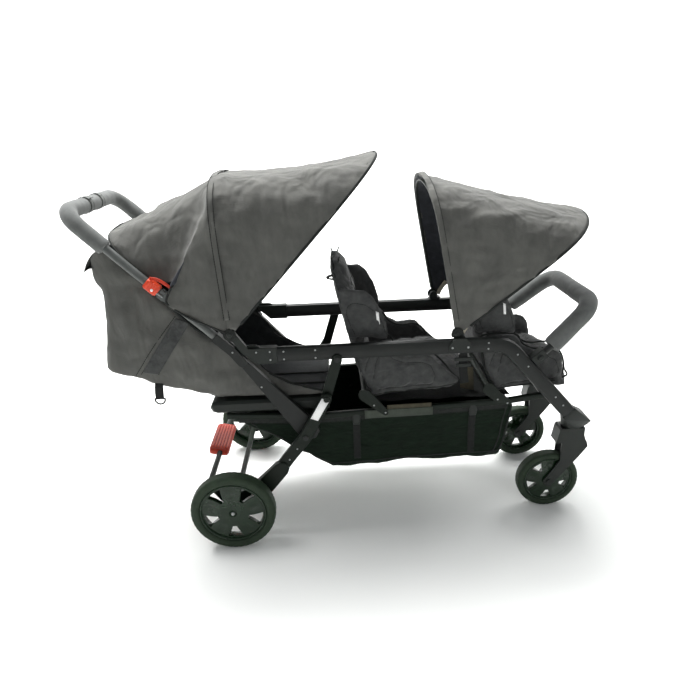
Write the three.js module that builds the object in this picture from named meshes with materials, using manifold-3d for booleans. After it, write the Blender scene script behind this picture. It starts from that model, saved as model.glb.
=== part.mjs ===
// Three-seat tandem daycare stroller: a long side-rail frame on two rear wheels and two swivelling
// front wheels, a deep reclined rear seat under a large canopy, two bucket seats, a front canopy,
// a basket, a folding push bar, a bumper bar and a rear leg linkage that folds under the frame.
// Millimetres. +X forward, +Y to the left, +Z up. x is measured from the rear axle while the
// pieces are made, and the whole is centred at the end.
import * as THREE from 'three';
import { mergeVertices } from 'three/addons/utils/BufferGeometryUtils.js';
import { ConvexGeometry } from 'three/addons/geometries/ConvexGeometry.js';
import Module from 'manifold-3d';

const wasm = await Module();
wasm.setup();

// Clearances
const restGap = 0.3; // between two pieces that touch
const runGap = 0.5; // between a turning piece and its neighbour
const overrun = 2; // how far a cut runs past the face it opens
const blend = 1; // how deep two joined solids run into each other

// Side rails
const railZ = 562;
const seatHalfY = 156;
const seatSideRoom = 18.5;
const railWidth = 25;
const railHeight = 42;
const railY = seatHalfY + seatSideRoom + railWidth / 2;
const railStartX = 155;
const railKneeX = 771;
const railBendRadius = 78;
const legReachX = 192;
const legEndZ = 344;
const tubeCorner = 9;

// Rear frame joint, where the push arm turns on the rail
const armPivotX = 38;
const armPivotRise = 15;
const tongueWidth = 8;
const tongueHalf = 14;
const blockFrontX = 64;
const tongueReach = 60;
const blockExtra = 1.5;
const hubHalf = 13;
const hubUp = 62;
const hubDown = 40;
const hubCore = 30;

// Push arm and handle
const armThick = 16;
const armTopHalf = 11;
const armEndHalf = 31;
const armEndShift = 8;
const foldAngle = 12;
const foldRoom = 2;
const handleAngle = 134.8;
const handleTube = 11;
const stemLength = 221.5;
const barLength = 306;
const barStraight = 92;
const barEndInset = 9;
const barBend = 52;
const foldTabLength = 16;
const gripStart = 182;
const gripRadius = 21;
const lockStart = 17;
const lockLength = 45;
const lockHeight = 35;
const lockWidth = 32;
const lockBevel = 5;
const lockTabLength = 30;
const lockTabHigh = 9;
const lockTabWide = 12;

// Rear leg, fold link and their pivots
const legPivotX = 216;
const legPivotDrop = 242;
const legTopX = 63;
const legTopRise = 116;
const linkPivotX = 313;
const linkPivotDrop = 17;
const linkThick = 6;
const linkHalf = 14;
const legThick = 16;
const legHalf = 18;
const legTopHalf = 15;
const legKneeShares = [0.74, 0.65];
const bootStartShares = [0.62, 0.47];
const bootMidShares = [0.343, 0.16];
const bootHalf = 22;
const bootMidHalf = 28;
const bootExtra = 6;
const pinRadius = 5;
const pinHeadRadius = 8;
const pinHeadThick = 3;
const spacerRadius = 14;

// Rear axle and wheels
const rearWheelRadius = 120;
const rearTyreWidth = 40;
const rearTyreDepth = 27;
const rearWheelOut = 75;
const rearWheelY = railY + rearWheelOut;
const rearAxleRadius = 8.5;
const spindleRadius = 6;
const rearHubRadius = 30;
const hubWall = 4;
const spokes = 5;
const windowInset = 12;
const windowHubGap = 10;
const spokeAngle = 34;
const dishDepth = 7;
const discThick = 6;
const barrelThick = 6;
const beadShare = 0.7;

// Brake
const brakeBarX = -62;
const brakeBarRise = 79;
const brakeBarRadius = 8;
const brakePlateThick = 10;
const brakePlateHalf = 13;
const brakeEyeRadius = 20;
const pedalLength = 160;
const pedalWidth = 62;
const pedalThick = 22;
const pedalTilt = 169;
const pedalShift = 4;
const pedalBevel = 7;

// Front casters
const frontWheelRadius = 93;
const frontTyreWidth = 34;
const frontTyreDepth = 21;
const frontWheelInset = 43;
const frontWheelY = railY - frontWheelInset;
const frontAxleX = 940;
const trail = 63;
const frontHubRadius = 22;
const forkPlate = 5;
const forkPlateGap = 2;
const crownZ = 226;
const crownTopZ = 275;
const crownBack = 46;
const crownFront = 28;
const forkEndHalf = 17;
const steererRadius = 8;
const steererLength = 34;
const housingTopZ = 319;
const housingBack = 36;
const housingFront = 30;
const housingHalfY = 27;
const housingBevel = 8;
const swivelTabReach = 11;
const swivelTabHeight = 9;
const swivelTabHalf = 9;
const swivelTravel = 5;

// Lower side tubes, seat base and basket
const lowerInset = 21;
const lowerY = railY - lowerInset;
const lowerWidth = 16;
const lowerHeight = 18;
const lowerBackX = -5;
const lowerBackZ = 371;
const lowerDipX = 240;
const lowerDipZ = 357;
const lowerMidX = 443;
const lowerMidZ = 364;
const lowerFrontX = 782;
const lowerFrontZ = 376;
const lowerEndX = 915;
const lowerEndZ = 393;
const lowerBend = 60;
const crossTubeRadius = 9;
const baseStartX = -50;
const baseEndX = 285;
const baseInset = 15;
const baseHalfY = railY - baseInset;
const baseTopZ = 417;
const baseCorner = 22;
const basketStartX = 20;
const basketEndX = 806;
const basketBackX = 285;
const basketFrontX = 770;
const basketDepth = 163;
const basketWall = 3;
const basketInset = 18;
const basketHalfY = railY - basketInset;
const basketCorner = 20;
const basketSag = 7;
const basketRipple = 3;

// Rear seat
const rearHalfY = 152;
const rearWall = 4;
const rearBackX = -330;
const rearTopZ = 862;
const rearFrontX = 284;
const rearCornerRadius = 30;
const rearPadGap = 1.8;
const rearPadThick = 34;
const rearPadCrown = 10;
const rearBendShare = 0.6;
const rearBendX = 0.055;

// Bucket seats
const seatPitch = 350;
const seatX = 403;
const seatZ = 402;
const sideThick = 15;
const seatDepth = 203;
const noseReach = [56, 46];
const noseRound = 0.8;
const noseDroop = [0, 26];
const cushionHeight = 58;
const cushionCrown = 9;
const sideHeight = 124;
const backHeight = 388;
const backLean = 88;
const backThick = 36;
const backCrown = 8;
const wingReach = 50;
const wingHeight = 328;
const headHalf = 108;
const headRound = 26;
const bracketThick = 5;
const bracketHalf = 18;
const bracketRodRadius = 8;
const bracketBackX = 18;
const bracketRise = 20;
const bracketFootX = 40;
const seatRailHeight = 14;
const seatRailWidth = 14;
const seatRailShare = 0.62;
const seatTiltShare = 0.075;

// Rear canopy
const canopyPivotX = 38;
const canopyPivotRise = 68;
const lugHalf = 10;
const lugThick = 12;
const eyeThick = 3.6;
const eyeRadius = 9;
const bowWidth = 8;
const bowInset = 18;
const fabric = 3;
const rearBowPowers = [3, 7];
const frontBowPowers = [2, 9];
const frontBowAngle = 46.9;
const frontBowLength = 584;
const middleBowAngle = 92.2;
const middleBowLength = 389;
const clothStart = 20;
const clothEnd = 24;
const hemOverlap = 4;
const clothSag = 6;
const slitX = -152;
const slitLowRise = 92;
const slitTopX = -116;
const slitTopRise = 153;
const slitInset = 20;
const innerX = -142;
const innerRise = 127;
const tubeSideX = -203;
const tubeSideRise = 149;
const flapX = -298;
const flapRise = 248;
const flapHalf = 130;
const flapCrestRise = 261;

// Front canopy and its clips
const clipX = 643;
const clipHalf = 29;
const clipThick = 5;
const clipDrop = 26;
const clipPivotRise = 36;
const clipLugHalf = 12;
const clipPivotBack = 7;
const frontRearBowAngle = 100.4;
const frontRearBowLength = 403;
const frontFrontBowAngle = 38.2;
const frontFrontBowLength = 466;

// Bumper bar
const bumperAlong = 92;
const bumperLength = 242;
const bumperInset = 34;
const bumperBend = 62;
const bumperStraight = 82;
const bumperTube = 10;
const bumperFoam = 25;
const bumperFoamStart = 78;
const socketHeight = 40;
const socketHalf = 15;
const socketHalfY = 13;
const socketBevel = 3;
const pegDepth = 34;
const buttonRadius = 6;
const buttonOut = 2.5;
const buttonTravel = 2.5;
const bossRadius = 9;
const bossOut = 3;

// Facets
const roundSides = 12;
const wheelSides = 24;
const bendParts = 4;
const endParts = 4;

// Colours
const satinBlack = { color: '#303133', roughness: 0.42, metalness: 0.5 };
const plasticBlack = { color: '#26282a', roughness: 0.6, metalness: 0 };
const rimBlack = { color: '#2b2e2f', roughness: 0.5, metalness: 0.05 };
const tyreBlack = { color: '#1f2123', roughness: 0.85, metalness: 0 };
const foamGrey = { color: '#3e4042', roughness: 0.95, metalness: 0 };
const charcoal = { color: '#505153', roughness: 0.95, metalness: 0 };
const basketBlack = { color: '#2a2d2c', roughness: 0.9, metalness: 0 };
const lockRed = { color: '#e24a2c', roughness: 0.45, metalness: 0 };
const pedalRed = { color: '#c33a2c', roughness: 0.5, metalness: 0 };
const buttonGrey = { color: '#8d8f90', roughness: 0.5, metalness: 0 };

const group = new THREE.Group();
const railInner = railY - railWidth / 2;
const railOuter = railY + railWidth / 2;
const linkLow = railOuter + runGap;
const linkHigh = linkLow + linkThick;
const legLow = linkHigh + runGap;
const legHigh = legLow + legThick;

// Points of the side view are Vector2 (x forward, y up)
function at(x, z) {
  return new THREE.Vector2(x, z);
}

function heading(degrees) {
  const a = THREE.MathUtils.degToRad(degrees);
  return at(Math.cos(a), Math.sin(a));
}

function along(from, direction, distance) {
  return from.clone().addScaledVector(direction, distance);
}

function leftOf(direction) {
  return at(-direction.y, direction.x);
}

function between(a, b, share) {
  return a.clone().lerp(b, share);
}

// A closed mesh with shared corners and its faces pointing out
function closed(geometry) {
  const bare = new THREE.BufferGeometry();
  bare.setAttribute('position', geometry.attributes.position.clone());
  if (geometry.index) bare.setIndex(geometry.index.clone());
  const merged = mergeVertices(bare, 1e-4);
  const p = merged.attributes.position;
  const index = Array.from(merged.index.array);
  const kept = [];
  let volume = 0;
  const a = new THREE.Vector3();
  const b = new THREE.Vector3();
  const c = new THREE.Vector3();
  for (let i = 0; i < index.length; i += 3) {
    const [u, v, w] = [index[i], index[i + 1], index[i + 2]];
    if (u === v || v === w || w === u) continue;
    kept.push(u, v, w);
    a.fromBufferAttribute(p, u);
    b.fromBufferAttribute(p, v);
    c.fromBufferAttribute(p, w);
    volume += a.dot(b.cross(c));
  }
  if (volume < 0) {
    for (let i = 0; i < kept.length; i += 3) {
      [kept[i], kept[i + 1]] = [kept[i + 1], kept[i]];
    }
  }
  merged.setIndex(kept);
  merged.computeVertexNormals();
  return merged;
}

function toSolid(geometry) {
  const g = closed(geometry);
  return new wasm.Manifold(new wasm.Mesh({
    numProp: 3,
    vertProperties: new Float32Array(g.attributes.position.array),
    triVerts: new Uint32Array(g.index.array),
  }));
}

function fromSolid(solid) {
  const mesh = solid.getMesh();
  const geometry = new THREE.BufferGeometry();
  geometry.setAttribute('position', new THREE.Float32BufferAttribute(mesh.vertProperties, 3));
  geometry.setIndex(Array.from(mesh.triVerts));
  return geometry;
}

function join(...geometries) {
  return fromSolid(geometries.map(toSolid).reduce((a, b) => a.add(b)));
}

function cut(base, ...tools) {
  return fromSolid(tools.map(toSolid).reduce((a, b) => a.subtract(b), toSolid(base)));
}

function mirrored(geometry) {
  const other = geometry.clone();
  other.scale(1, -1, 1);
  return other;
}

function add(name, finish, geometry) {
  const mesh = new THREE.Mesh(closed(geometry), new THREE.MeshStandardMaterial(finish));
  mesh.name = name;
  group.add(mesh);
}

// A piece and its mirror twin, made for the left side
function addPair(name, finish, geometry) {
  add(`${name}_left`, finish, geometry);
  add(`${name}_right`, finish, mirrored(geometry));
}

// A flat piece with its outline in the side view, from y = low to y = high
function plate(outline, low, high, bevel = 0) {
  const geometry = new THREE.ExtrudeGeometry(new THREE.Shape(outline), {
    depth: high - low - 2 * bevel,
    bevelEnabled: bevel > 0,
    bevelThickness: bevel,
    bevelSize: bevel,
    bevelOffset: -bevel,
    bevelSegments: 1,
  });
  geometry.rotateX(Math.PI / 2);
  geometry.translate(0, high - bevel, 0);
  return geometry;
}

// The outline of a strap that follows points, with a half width at each and round or square ends
function strap(points, halves, roundStart = true, roundEnd = true) {
  const last = points.length - 1;
  const leftSide = [];
  const rightSide = [];
  for (let i = 0; i <= last; i++) {
    const into = points[i].clone().sub(points[Math.max(i - 1, 0)]).normalize();
    const out = points[Math.min(i + 1, last)].clone().sub(points[i]).normalize();
    const direction = into.clone().add(out).normalize();
    const half = halves[i] / Math.max(direction.dot(i ? into : out), 1 / 2);
    leftSide.push(along(points[i], leftOf(direction), half));
    rightSide.push(along(points[i], leftOf(direction), -half));
  }
  const cap = (i, direction, round) => {
    const arc = [];
    if (!round) return arc;
    for (let k = 1; k < endParts; k++) {
      const a = Math.PI / 2 - (Math.PI * k) / endParts;
      const turned = along(points[i], direction, halves[i] * Math.cos(a));
      arc.push(along(turned, leftOf(direction), halves[i] * Math.sin(a)));
    }
    return arc;
  };
  const ahead = points[last].clone().sub(points[last - 1]).normalize();
  const behind = points[0].clone().sub(points[1]).normalize();
  return [
    ...leftSide,
    ...cap(last, ahead, roundEnd),
    ...rightSide.reverse(),
    ...cap(0, behind, roundStart),
  ];
}

function disc(centre, radius, parts = roundSides) {
  return Array.from({ length: parts }, (_, i) => {
    const a = ((i + 1 / 2) * 2 * Math.PI) / parts;
    return at(centre.x + radius * Math.cos(a), centre.y + radius * Math.sin(a));
  });
}

// A round bar across the stroller
function pin(centre, radius, low, high, parts = roundSides) {
  return plate(disc(centre, radius, parts), low, high);
}

// A path whose rings sit exactly at its points, for extrusions
class Route extends THREE.Curve {
  constructor(points) {
    super();
    this.points = points;
  }

  getPointAt(u, target = new THREE.Vector3()) {
    return target.copy(this.points[Math.round(u * (this.points.length - 1))]);
  }

  getTangentAt(u, target = new THREE.Vector3()) {
    const last = this.points.length - 1;
    const i = Math.round(u * last);
    const into = this.points[i].clone().sub(this.points[Math.max(i - 1, 0)]).normalize();
    const out = this.points[Math.min(i + 1, last)].clone().sub(this.points[i]).normalize();
    return target.copy(into).add(out).normalize();
  }
}

// Corner points replaced by arcs of the given radius
function filleted(points, radius, parts = bendParts) {
  const out = [points[0]];
  for (let i = 1; i < points.length - 1; i++) {
    const back = points[i - 1].clone().sub(points[i]).normalize();
    const ahead = points[i + 1].clone().sub(points[i]).normalize();
    const half = back.angleTo(ahead) / 2;
    const reach = radius / Math.tan(half);
    const middle = back.clone().add(ahead).normalize();
    const centre = points[i].clone().addScaledVector(middle, radius / Math.sin(half));
    const from = points[i].clone().addScaledVector(back, reach).sub(centre);
    const to = points[i].clone().addScaledVector(ahead, reach).sub(centre);
    const sweep = from.angleTo(to);
    for (let k = 0; k <= parts; k++) {
      const share = k / parts;
      const a = Math.sin((1 - share) * sweep) / Math.sin(sweep);
      const b = Math.sin(share * sweep) / Math.sin(sweep);
      out.push(centre.clone().addScaledVector(from, a).addScaledVector(to, b));
    }
  }
  out.push(points[points.length - 1]);
  return out;
}

function ringShape(radius, sides = roundSides, bore = 0) {
  const ring = (r) => disc(at(0, 0), r, sides);
  const shape = new THREE.Shape(ring(radius));
  if (bore > 0) shape.holes.push(new THREE.Path(ring(bore)));
  return shape;
}

function flatShape(width, height, corner) {
  const shape = new THREE.Shape();
  const [w, h] = [width / 2, height / 2];
  shape.moveTo(w - corner, -h);
  shape.absarc(w - corner, corner - h, corner, -Math.PI / 2, 0);
  shape.absarc(w - corner, h - corner, corner, 0, Math.PI / 2);
  shape.absarc(corner - w, h - corner, corner, Math.PI / 2, Math.PI);
  shape.absarc(corner - w, corner - h, corner, Math.PI, Math.PI * 1.5);
  return shape;
}

function stripShape(width, height) {
  const [w, h] = [width / 2, height / 2];
  return new THREE.Shape([at(w, -h), at(w, h), at(-w, h), at(-w, -h)]);
}

function sweep(shape, points) {
  return new THREE.ExtrudeGeometry(shape, {
    steps: points.length - 1,
    curveSegments: 1,
    bevelEnabled: false,
    extrudePath: new Route(points),
  });
}

// A flat tube that follows side-view points at one distance from the middle plane
function sideTube(points, y, width, height, corner) {
  const route = points.map((p) => new THREE.Vector3(p.x, p.y, 0));
  const geometry = sweep(flatShape(width, height, corner), route);
  geometry.rotateX(Math.PI / 2);
  geometry.translate(0, y, 0);
  return geometry;
}

// Cloth: a grid of points given a thickness on the side away from its normals
function sheet(rows, thickness) {
  const n = rows.length;
  const m = rows[0].length;
  const flat = rows.flat();
  const normals = flat.map((_, k) => {
    const i = Math.floor(k / m);
    const j = k % m;
    const du = rows[Math.min(i + 1, n - 1)][j].clone().sub(rows[Math.max(i - 1, 0)][j]);
    const dv = rows[i][Math.min(j + 1, m - 1)].clone().sub(rows[i][Math.max(j - 1, 0)]);
    return du.cross(dv).normalize();
  });
  const inner = flat.map((p, k) => p.clone().addScaledVector(normals[k], -thickness));
  const faces = [];
  const quad = (a, b, c, d) => faces.push(a, b, c, a, c, d);
  const front = (i, j) => i * m + j;
  const back = (i, j) => n * m + i * m + j;
  for (let i = 0; i < n - 1; i++) {
    for (let j = 0; j < m - 1; j++) {
      quad(front(i, j), front(i + 1, j), front(i + 1, j + 1), front(i, j + 1));
      quad(back(i, j), back(i, j + 1), back(i + 1, j + 1), back(i + 1, j));
    }
  }
  for (let i = 0; i < n - 1; i++) {
    quad(front(i, 0), back(i, 0), back(i + 1, 0), front(i + 1, 0));
    quad(front(i, m - 1), front(i + 1, m - 1), back(i + 1, m - 1), back(i, m - 1));
  }
  for (let j = 0; j < m - 1; j++) {
    quad(front(0, j), front(0, j + 1), back(0, j + 1), back(0, j));
    quad(front(n - 1, j), back(n - 1, j), back(n - 1, j + 1), front(n - 1, j + 1));
  }
  return faceted([...flat, ...inner], faces);
}

function faceted(points, faces) {
  const geometry = new THREE.BufferGeometry();
  const numbers = points.flatMap((p) => [p.x, p.y, p.z]);
  geometry.setAttribute('position', new THREE.Float32BufferAttribute(numbers, 3));
  geometry.setIndex(faces);
  return geometry;
}

// A soft block: a box grid whose u, v and w shares a function turns into places
function softBlock(nu, nv, nw, place) {
  const geometry = new THREE.BoxGeometry(1, 1, 1, nu, nv, nw);
  const p = geometry.attributes.position;
  for (let i = 0; i < p.count; i++) {
    const q = place(p.getX(i) * 2, p.getY(i) * 2, p.getZ(i) * 2);
    p.setXYZ(i, q.x, q.y, q.z);
  }
  return geometry;
}

// A point along a side-view polyline at a share of its length, with its direction
function onLine(points, share) {
  const lengths = points.slice(1).map((p, i) => p.distanceTo(points[i]));
  let left = share * lengths.reduce((a, b) => a + b);
  let i = 0;
  while (i < lengths.length - 1 && left > lengths[i]) {
    left -= lengths[i];
    i += 1;
  }
  return between(points[i], points[i + 1], left / lengths[i]);
}

const armPivot = at(armPivotX, railZ + armPivotRise);
const legPivot = at(legPivotX, railZ - legPivotDrop);
const armWay = legPivot.clone().sub(armPivot).normalize();
const legTop = at(legPivotX + legTopX, legPivot.y + legTopRise);
const linkPivot = at(linkPivotX, railZ - linkPivotDrop);
const rearAxle = at(0, rearWheelRadius);
const handleWay = heading(handleAngle);
const handlePivot = along(armPivot, handleWay, stemLength);
const railKnee = at(railKneeX, railZ);
const legEnd = at(railKneeX + legReachX, legEndZ);
const legWay = legEnd.clone().sub(railKnee).normalize();
const canopyPivot = at(canopyPivotX, railZ + canopyPivotRise);

// Side rails, with the pin that the fold link turns on
{
  const tube = sideTube(filleted([at(railStartX, railZ), railKnee, legEnd], railBendRadius),
    railY, railWidth, railHeight, tubeCorner);
  const stub = pin(linkPivot, pinRadius, railOuter - blend, linkHigh + runGap);
  const head = pin(linkPivot, pinHeadRadius, linkHigh + restGap, linkHigh + pinHeadThick);
  addPair('rail', satinBlack, join(tube, stub, head));
}

// Rail end joints: a block on the rail, the tongue the push arm turns on, and the canopy lug
const frontEyeLow = railOuter + runGap;
const frontEyeHigh = frontEyeLow + eyeThick;
const middleEyeLow = frontEyeHigh + restGap;
const middleEyeHigh = middleEyeLow + eyeThick;
{
  const high = railZ + railHeight / 2 + blockExtra;
  const low = railZ - railHeight / 2 - blockExtra;
  const folded = armWay.clone().rotateAround(at(0, 0), THREE.MathUtils.degToRad(foldAngle));
  const edge = along(armPivot, leftOf(folded), hubHalf + foldRoom);
  const block = plate([
    along(edge, folded, (low - edge.y) / folded.y),
    at(railStartX - restGap, low),
    at(railStartX - restGap, high),
    at(blockFrontX, high),
    along(edge, folded, (blockFrontX - edge.x) / folded.x),
  ], railInner, railOuter, blend);
  const tongue = plate(strap([armPivot, at(armPivotX + tongueReach, armPivot.y)],
    [tongueHalf, tongueHalf]), railY - tongueWidth / 2, railY + tongueWidth / 2);
  const lugFoot = at(blockFrontX + lugHalf, high - lugHalf);
  const lug = plate(strap([canopyPivot, lugFoot], [lugHalf, lugHalf]),
    railOuter - lugThick, railOuter);
  const post = pin(canopyPivot, pinRadius, railOuter - blend, middleEyeHigh);
  addPair('rail_joint', plasticBlack, join(block, tongue, lug, post));
}

// Push arms: a fork over the tongue, a tapered plate to the leg pivot, and the rivet there
const armInner = railY - armThick / 2;
const armOuter = railY + armThick / 2;
{
  const end = at(legPivot.x + armEndShift, legPivot.y + armEndShift);
  const hubTop = along(armPivot, handleWay, hubUp);
  const hubLow = along(armPivot, armWay, hubDown);
  const coreTop = along(armPivot, handleWay, hubCore);
  const slotLow = railY - tongueWidth / 2 - restGap;
  const slotHigh = railY + tongueWidth / 2 + restGap;
  const hubOutline = strap([hubTop, armPivot, hubLow], [hubHalf, hubHalf, hubHalf], false, true);
  const arm = strap([along(armPivot, armWay, hubDown), end], [armTopHalf, armEndHalf], true, true);
  const pieces = [
    plate(hubOutline, railInner, slotLow, blend),
    plate(hubOutline, slotHigh, railOuter, blend),
    plate(strap([hubTop, coreTop], [hubHalf, hubHalf], false, false), railInner + blend,
      railOuter - blend),
    plate(arm, armInner, armOuter, blend),
    pin(legPivot, spacerRadius, armOuter - blend, legLow - restGap),
    pin(legPivot, pinRadius, armOuter - blend, legHigh + runGap),
    pin(legPivot, pinHeadRadius, legHigh + restGap, legHigh + pinHeadThick),
  ];
  const sweepRoom = plate(disc(armPivot, hubCore - restGap), slotLow, slotHigh);
  addPair('push_arm', satinBlack, cut(join(...pieces), sweepRoom));
}

// Handle stems: a tube from the hub to the handle's fold pivot, with a tongue
const tongueLow = railY - tongueWidth / 2;
const tongueHigh = railY + tongueWidth / 2;
function tubeAlong(from, to, y, radius) {
  return sweep(ringShape(radius), [from, to].map((p) => new THREE.Vector3(p.x, y, p.y)));
}
{
  const bottom = along(armPivot, handleWay, hubUp + restGap);
  const top = along(armPivot, handleWay, stemLength - foldTabLength);
  const tab = strap([between(bottom, top, 0.8), handlePivot], [handleTube, handleTube],
    false, true);
  const tabBar = plate(tab, tongueLow, tongueHigh);
  addPair('handle_stem', satinBlack, join(tubeAlong(bottom, top, railY, handleTube), tabBar));
}

// Handle bar: a U with a fork at each foot, that folds about the foot pivots
const barCorner = along(handlePivot, handleWay, barLength);
const barTurn = along(handlePivot, handleWay, barStraight);
function place(p, y) {
  return new THREE.Vector3(p.x, y, p.y);
}
function barRoute(startDistance) {
  const foot = along(handlePivot, handleWay, startDistance);
  const half = [
    place(foot, railY),
    ...(startDistance < barStraight ? [place(barTurn, railY)] : []),
    place(barCorner, railY - barEndInset),
  ];
  const other = half.map((p) => new THREE.Vector3(p.x, -p.y, p.z)).reverse();
  const route = [...half, ...other];
  const bend = route.length / 2 - 1;
  const head = route.slice(0, bend);
  const tail = route.slice(bend + 2);
  const mid = filleted([route[bend - 1], route[bend], route[bend + 1], route[bend + 2]], barBend);
  return [...head.slice(0, -1), ...mid, ...tail.slice(1)];
}
{
  const foot = along(handlePivot, handleWay, foldTabLength - overrun);
  const ear = strap([handlePivot, along(handlePivot, handleWay, foldTabLength)],
    [handleTube, handleTube], true, false);
  const innerEar = plate(ear, railY - handleTube, tongueLow - restGap);
  const outerEar = plate(ear, tongueHigh + restGap, railY + handleTube);
  const tube = sweep(ringShape(handleTube), barRoute(foot.distanceTo(handlePivot)));
  add('handle_bar', satinBlack,
    join(tube, innerEar, outerEar, mirrored(innerEar), mirrored(outerEar)));
}

// Foam grip round the top of the handle bar
{
  const lean = barEndInset / (barLength - barStraight);
  const startY = railY - lean * (gripStart - barStraight);
  const start = place(along(handlePivot, handleWay, gripStart), startY);
  const corner = place(barCorner, railY - barEndInset);
  const route = filleted([start, corner, new THREE.Vector3(corner.x, -corner.y, corner.z),
    new THREE.Vector3(start.x, -start.y, start.z)], barBend);
  add('handle_grip', foamGrey,
    sweep(ringShape(gripRadius, roundSides, handleTube + restGap), route));
}

// Red lock sleeves that slide up the handle bar, with their finger tabs
{
  const low = along(handlePivot, handleWay, lockStart);
  const high = along(handlePivot, handleWay, lockStart + lockLength);
  const half = lockHeight / 2;
  const body = plate(strap([low, high], [half, half], false, false),
    railY - lockWidth / 2, railY + lockWidth / 2, lockBevel);
  const up = leftOf(handleWay).negate();
  const tabFrom = along(along(low, up, half + lockTabHigh / 2 - blend), handleWay, -blend);
  const tabTo = along(tabFrom, handleWay, lockTabLength);
  const tab = plate(strap([tabFrom, tabTo], [lockTabHigh / 2, lockTabHigh / 2]),
    railY - lockTabWide, railY);
  const reach = overrun + lockBevel;
  const bore = tubeAlong(along(low, handleWay, -reach), along(high, handleWay, reach), railY,
    handleTube + restGap);
  addPair('handle_lock', lockRed, cut(join(body, tab), bore));
}

// Rear legs: a flat tube from the link pivot past the arm pivot, and a boot at the axle
const bootHigh = legHigh + bootExtra;
{
  const spot = ([x, z]) => at(x * legPivot.x, rearAxle.y + z * (legPivot.y - rearAxle.y));
  const knee = spot(legKneeShares);
  const bootTop = spot(bootStartShares);
  const bootMid = spot(bootMidShares);
  const leg = plate(strap([legTop, legPivot, knee, between(knee, bootTop, 1.2)],
    [legTopHalf, legHalf, legHalf, legHalf]), legLow, legHigh, blend * 3);
  const boot = plate(strap([between(knee, bootTop, 0.7), bootMid, rearAxle],
    [bootHalf, bootMidHalf, bootHalf]), legLow + blend / 2, bootHigh, blend * 2);
  const armHole = pin(legPivot, pinRadius + restGap, legLow - overrun, bootHigh + overrun);
  const axleHole = pin(rearAxle, rearAxleRadius + restGap, legLow - overrun, bootHigh + overrun);
  const topRivet = pin(legTop, pinHeadRadius, legHigh - blend, legHigh + pinHeadThick);
  addPair('rear_leg', satinBlack, cut(join(leg, boot, topRivet), armHole, axleHole));
}

// Fold links between rail and leg
{
  const link = plate(strap([linkPivot, legTop], [linkHalf, linkHalf]), linkLow, linkHigh);
  const hole = pin(linkPivot, pinRadius + restGap, linkLow - overrun, linkHigh + overrun);
  addPair('fold_link', satinBlack, cut(link, hole));
}

// Rear axle: a rod with a thinner spindle at each end
const rearHubInner = rearWheelY - rearTyreWidth / 2;
const rearHubOuter = rearWheelY + rearTyreWidth / 2;
const axleShoulder = rearHubInner - restGap;
const spindleEnd = rearHubOuter - hubWall * 2;
{
  const profile = [
    at(0, -spindleEnd),
    at(spindleRadius, -spindleEnd),
    at(spindleRadius, -axleShoulder),
    at(rearAxleRadius, -axleShoulder),
    at(rearAxleRadius, axleShoulder),
    at(spindleRadius, axleShoulder),
    at(spindleRadius, spindleEnd),
    at(0, spindleEnd),
  ];
  const axle = new THREE.LatheGeometry(profile, roundSides);
  axle.translate(rearAxle.x, 0, rearAxle.y);
  add('rear_axle', satinBlack, axle);
}

// Wheels
function tyre(radius, depth, width) {
  const h = width / 2;
  const shares = [[0, -0.74], [0.35, -1], [0.78, -0.9], [1, -0.46], [1, 0.46], [0.78, 0.9],
    [0.35, 1], [0, 0.74], [0, -0.74]];
  const profile = shares.map(([r, y]) => at(radius - depth + depth * r, h * y));
  return new THREE.LatheGeometry(profile, wheelSides);
}

function rim(radius, width, hub, bore, openHub) {
  const h = width / 2;
  const wall = radius - barrelThick;
  const bead = h * beadShare;
  const face = h * beadShare - dishDepth;
  const outerHub = h - hubWall / 2;
  const profile = [
    at(bore, -h),
    at(hub, -h),
    at(hub, face - dishDepth - discThick),
    at(wall, face - discThick),
    at(wall, -bead),
    at(radius, -bead),
    at(radius, bead),
    at(wall, bead),
    at(wall - dishDepth, face),
    at(hub, face - dishDepth),
    at(hub * 0.8, outerHub),
  ];
  const capped = [at(0, h - hubWall * 2 + restGap), at(bore, h - hubWall * 2 + restGap),
    ...profile, at(0, outerHub)];
  const open = [...profile, at(bore, outerHub), at(bore, -h)];
  const turned = new THREE.LatheGeometry(openHub ? open : capped, wheelSides);
  const inner = hub + windowHubGap;
  const outer = wall - windowInset;
  const pitch = 360 / spokes;
  const windows = Array.from({ length: spokes }, (_, i) => {
    const half = (pitch - spokeAngle) / 2;
    const start = (i - 1 / 4) * pitch;
    const rays = [-1, -1 / 3, 1 / 3, 1].map((s) => heading(start + s * half));
    const narrow = [1 / 2, -1 / 2].map((s) => heading(start + s * half * 0.8));
    const outline = [
      ...rays.map((r) => r.multiplyScalar(outer)),
      ...narrow.map((r) => r.multiplyScalar(inner)),
    ];
    return plate(outline, -h - overrun, h + overrun);
  });
  return cut(turned, ...windows);
}

function wheelPair(name, centre, y, geometry, finish) {
  geometry.translate(centre.x, y, centre.y);
  addPair(name, finish, geometry);
}

wheelPair('rear_tyre', rearAxle, rearWheelY,
  tyre(rearWheelRadius, rearTyreDepth, rearTyreWidth), tyreBlack);
wheelPair('rear_rim', rearAxle, rearWheelY, rim(rearWheelRadius - rearTyreDepth - restGap,
  rearTyreWidth, rearHubRadius, spindleRadius + restGap, false), rimBlack);

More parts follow.
